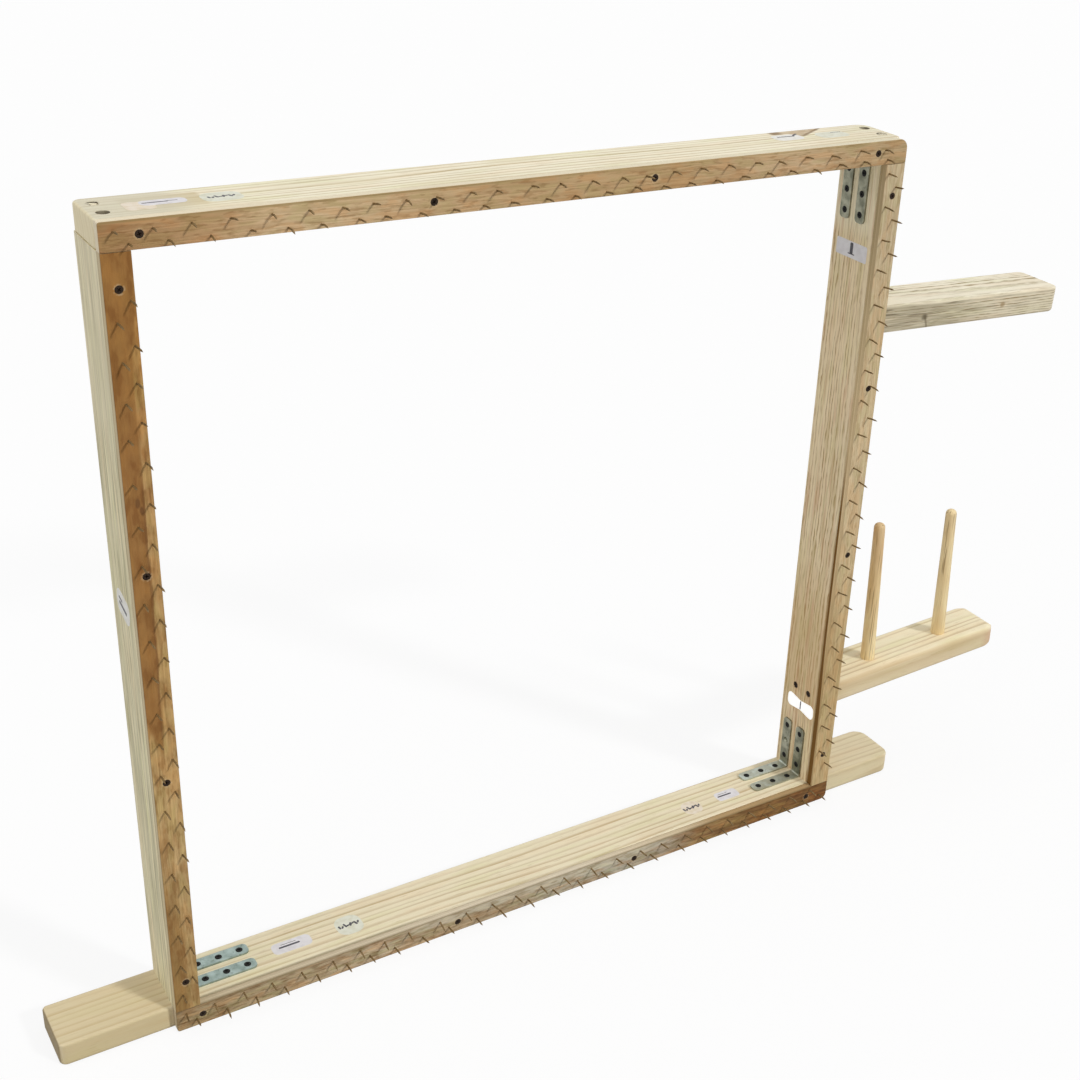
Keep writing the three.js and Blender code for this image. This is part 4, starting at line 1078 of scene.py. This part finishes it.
RIGHT_LABELS = [
    # Place, length and width, corner, thickness, waist and finish, of the two labels and their strokes.
    ((468.98, -2.5, 848), (61, 22), 2.5, PAPER_THICK, 1.0, LILAC),
    ((468.86, -2.5, 850), (6, 15), 1.6, INK_THICK, 1.0, INK),
    ((468.86, -2.5, 842.5), (13, 1.4), 0.5, INK_THICK, 1.0, INK),
    ((468.98, -5, 149.5), (60, 25), 9, PAPER_THICK, 0.62, BRIGHT),
    ((468.86, -5, 149.5), (2.4, 14), 0.8, INK_THICK, 1.0, INK),
]
sheet = bmesh.new()
for place, size, corner, thick, waist, finish in RIGHT_LABELS:
    add_plate(sheet, place, size, corner, TO_FRONT, UP, thick, waist, 0, finish)
make_piece(sheet, "right_stile_labels", [paper, lilac, ink, bright], "pine")

sheet = bmesh.new()
add_plate(sheet, (-499.98, -2, 566), (44, 31), 11, TO_FRONT, UP, PAPER_THICK, 1.0, -12, PAPER)
for y, z, stroke in ((-1, 564, (25, 4.5)), (6, 572, (12, 3.0))):
    add_plate(sheet, (-500.08, y, z), stroke, 1.2, TO_FRONT, UP, INK_THICK, 1.0, -14, INK)
make_piece(sheet, "left_stile_label", [paper, lilac, ink], "pine")

# The room: a plain pale floor and a white surround. A window high on the right in front makes the nails
# throw their short slanting shadows, and two broad fills keep the left sides and the tops light.
FLOOR_REACH = 9000
floor = bmesh.new()
under = Matrix.Translation((0, 0, -0.3))
bmesh.ops.create_grid(floor, x_segments=1, y_segments=1, size=FLOOR_REACH, matrix=under)
bmesh.ops.scale(floor, vec=(0.001, 0.001, 0.001), verts=floor.verts[:])
mesh = bpy.data.meshes.new("floor")
floor.to_mesh(mesh)
floor.free()
ground = bpy.data.objects.new("floor", mesh)
bpy.context.scene.collection.objects.link(ground)
pale = Finish("pale_floor")
speck = pale.noise((0.004, 0.004, 0.004), 2.0, 1.0)
seen = pale.add("ShaderNodeLightPath", output="Is Camera Ray")
plaster = pale.mix(speck, paint(186, 186, 186), paint(190, 190, 190))
pale.feed(pale.mix(seen, plaster, paint(249, 249, 249)), 0.8 + speck * 0.05)
shiny = pale.add("ShaderNodeLightPath", output="Is Glossy Ray")
glow = pale.add("ShaderNodeEmission", {}, {"Color": (1, 1, 1, 1), "Strength": 1.0})
# The camera and gloss see the floor as mostly white, and a share of the frame's shadow stays on it.
lit = Wire(pale, pale.surface.outputs[0])
both = pale.add("ShaderNodeMixShader", {}, {0: seen.most(shiny) * 0.86, 1: lit, 2: glow})
pale.tree.links.new(both.socket, pale.output.inputs[0])
mesh.materials.append(pale.material)

ROOM_LIGHT = 0.24  # how strongly the surround lights the frame
ROOM_SEEN = 0.965  # how bright the camera sees it
ROOM_MIRRORED = 0.74  # how far gloss sees it as the camera does
world = bpy.data.worlds.new("white_room")
bpy.context.scene.world = world
world.use_nodes = True
nodes, links = world.node_tree.nodes, world.node_tree.links
nodes.clear()
path = nodes.new("ShaderNodeLightPath")
dimmed = nodes.new("ShaderNodeMath")
dimmed.operation = "MULTIPLY"
dimmed.inputs[1].default_value = ROOM_MIRRORED
links.new(path.outputs["Is Glossy Ray"], dimmed.inputs[0])
first = nodes.new("ShaderNodeMath")
first.operation = "MAXIMUM"
links.new(path.outputs["Is Camera Ray"], first.inputs[0])
links.new(dimmed.outputs[0], first.inputs[1])
level = nodes.new("ShaderNodeMapRange")
level.inputs["To Min"].default_value = ROOM_LIGHT
level.inputs["To Max"].default_value = ROOM_SEEN
links.new(first.outputs[0], level.inputs["Value"])
sky = nodes.new("ShaderNodeBackground")
sky.inputs["Color"].default_value = (1, 1, 1, 1)
links.new(level.outputs[0], sky.inputs["Strength"])
around = nodes.new("ShaderNodeOutputWorld")
links.new(sky.outputs[0], around.inputs[0])

LAMPS = {
    # Where the light comes from, how strong it is, and how broad it looks, in degrees.
    "window_lamp": ((0.42, -0.71, 0.57), 1.52, 7.0),
    "left_fill": ((-0.9, -0.2, 0.35), 0.86, 70),
    "ceiling_fill": ((0.0, 0.1, 1.0), 0.96, 85),
}
for name, (toward, energy, breadth) in LAMPS.items():
    lamp = bpy.data.lights.new(name, "SUN")
    lamp.energy = energy
    lamp.angle = math.radians(breadth)
    hung = bpy.data.objects.new(name, lamp)
    hung.rotation_euler = Vector(toward).to_track_quat("Z", "Y").to_euler()
    bpy.context.scene.collection.objects.link(hung)

# The camera. It stands in front on the left and looks down a little, at the place and with the lens that
# a fit to the photograph's edges gave.
view = bpy.data.cameras.new("camera")
view.lens = 53.861
view.sensor_width = 36
view.shift_x = -0.1
view.clip_start = 0.05
camera = bpy.data.objects.new("camera", view)
camera.location = (-0.89057, -1.55654, 1.44219)
camera.rotation_euler = [math.radians(angle) for angle in (63.2084, -3.1282, -32.9091)]
bpy.context.scene.collection.objects.link(camera)
bpy.context.scene.camera = camera
bpy.context.scene.view_settings.view_transform = "Standard"
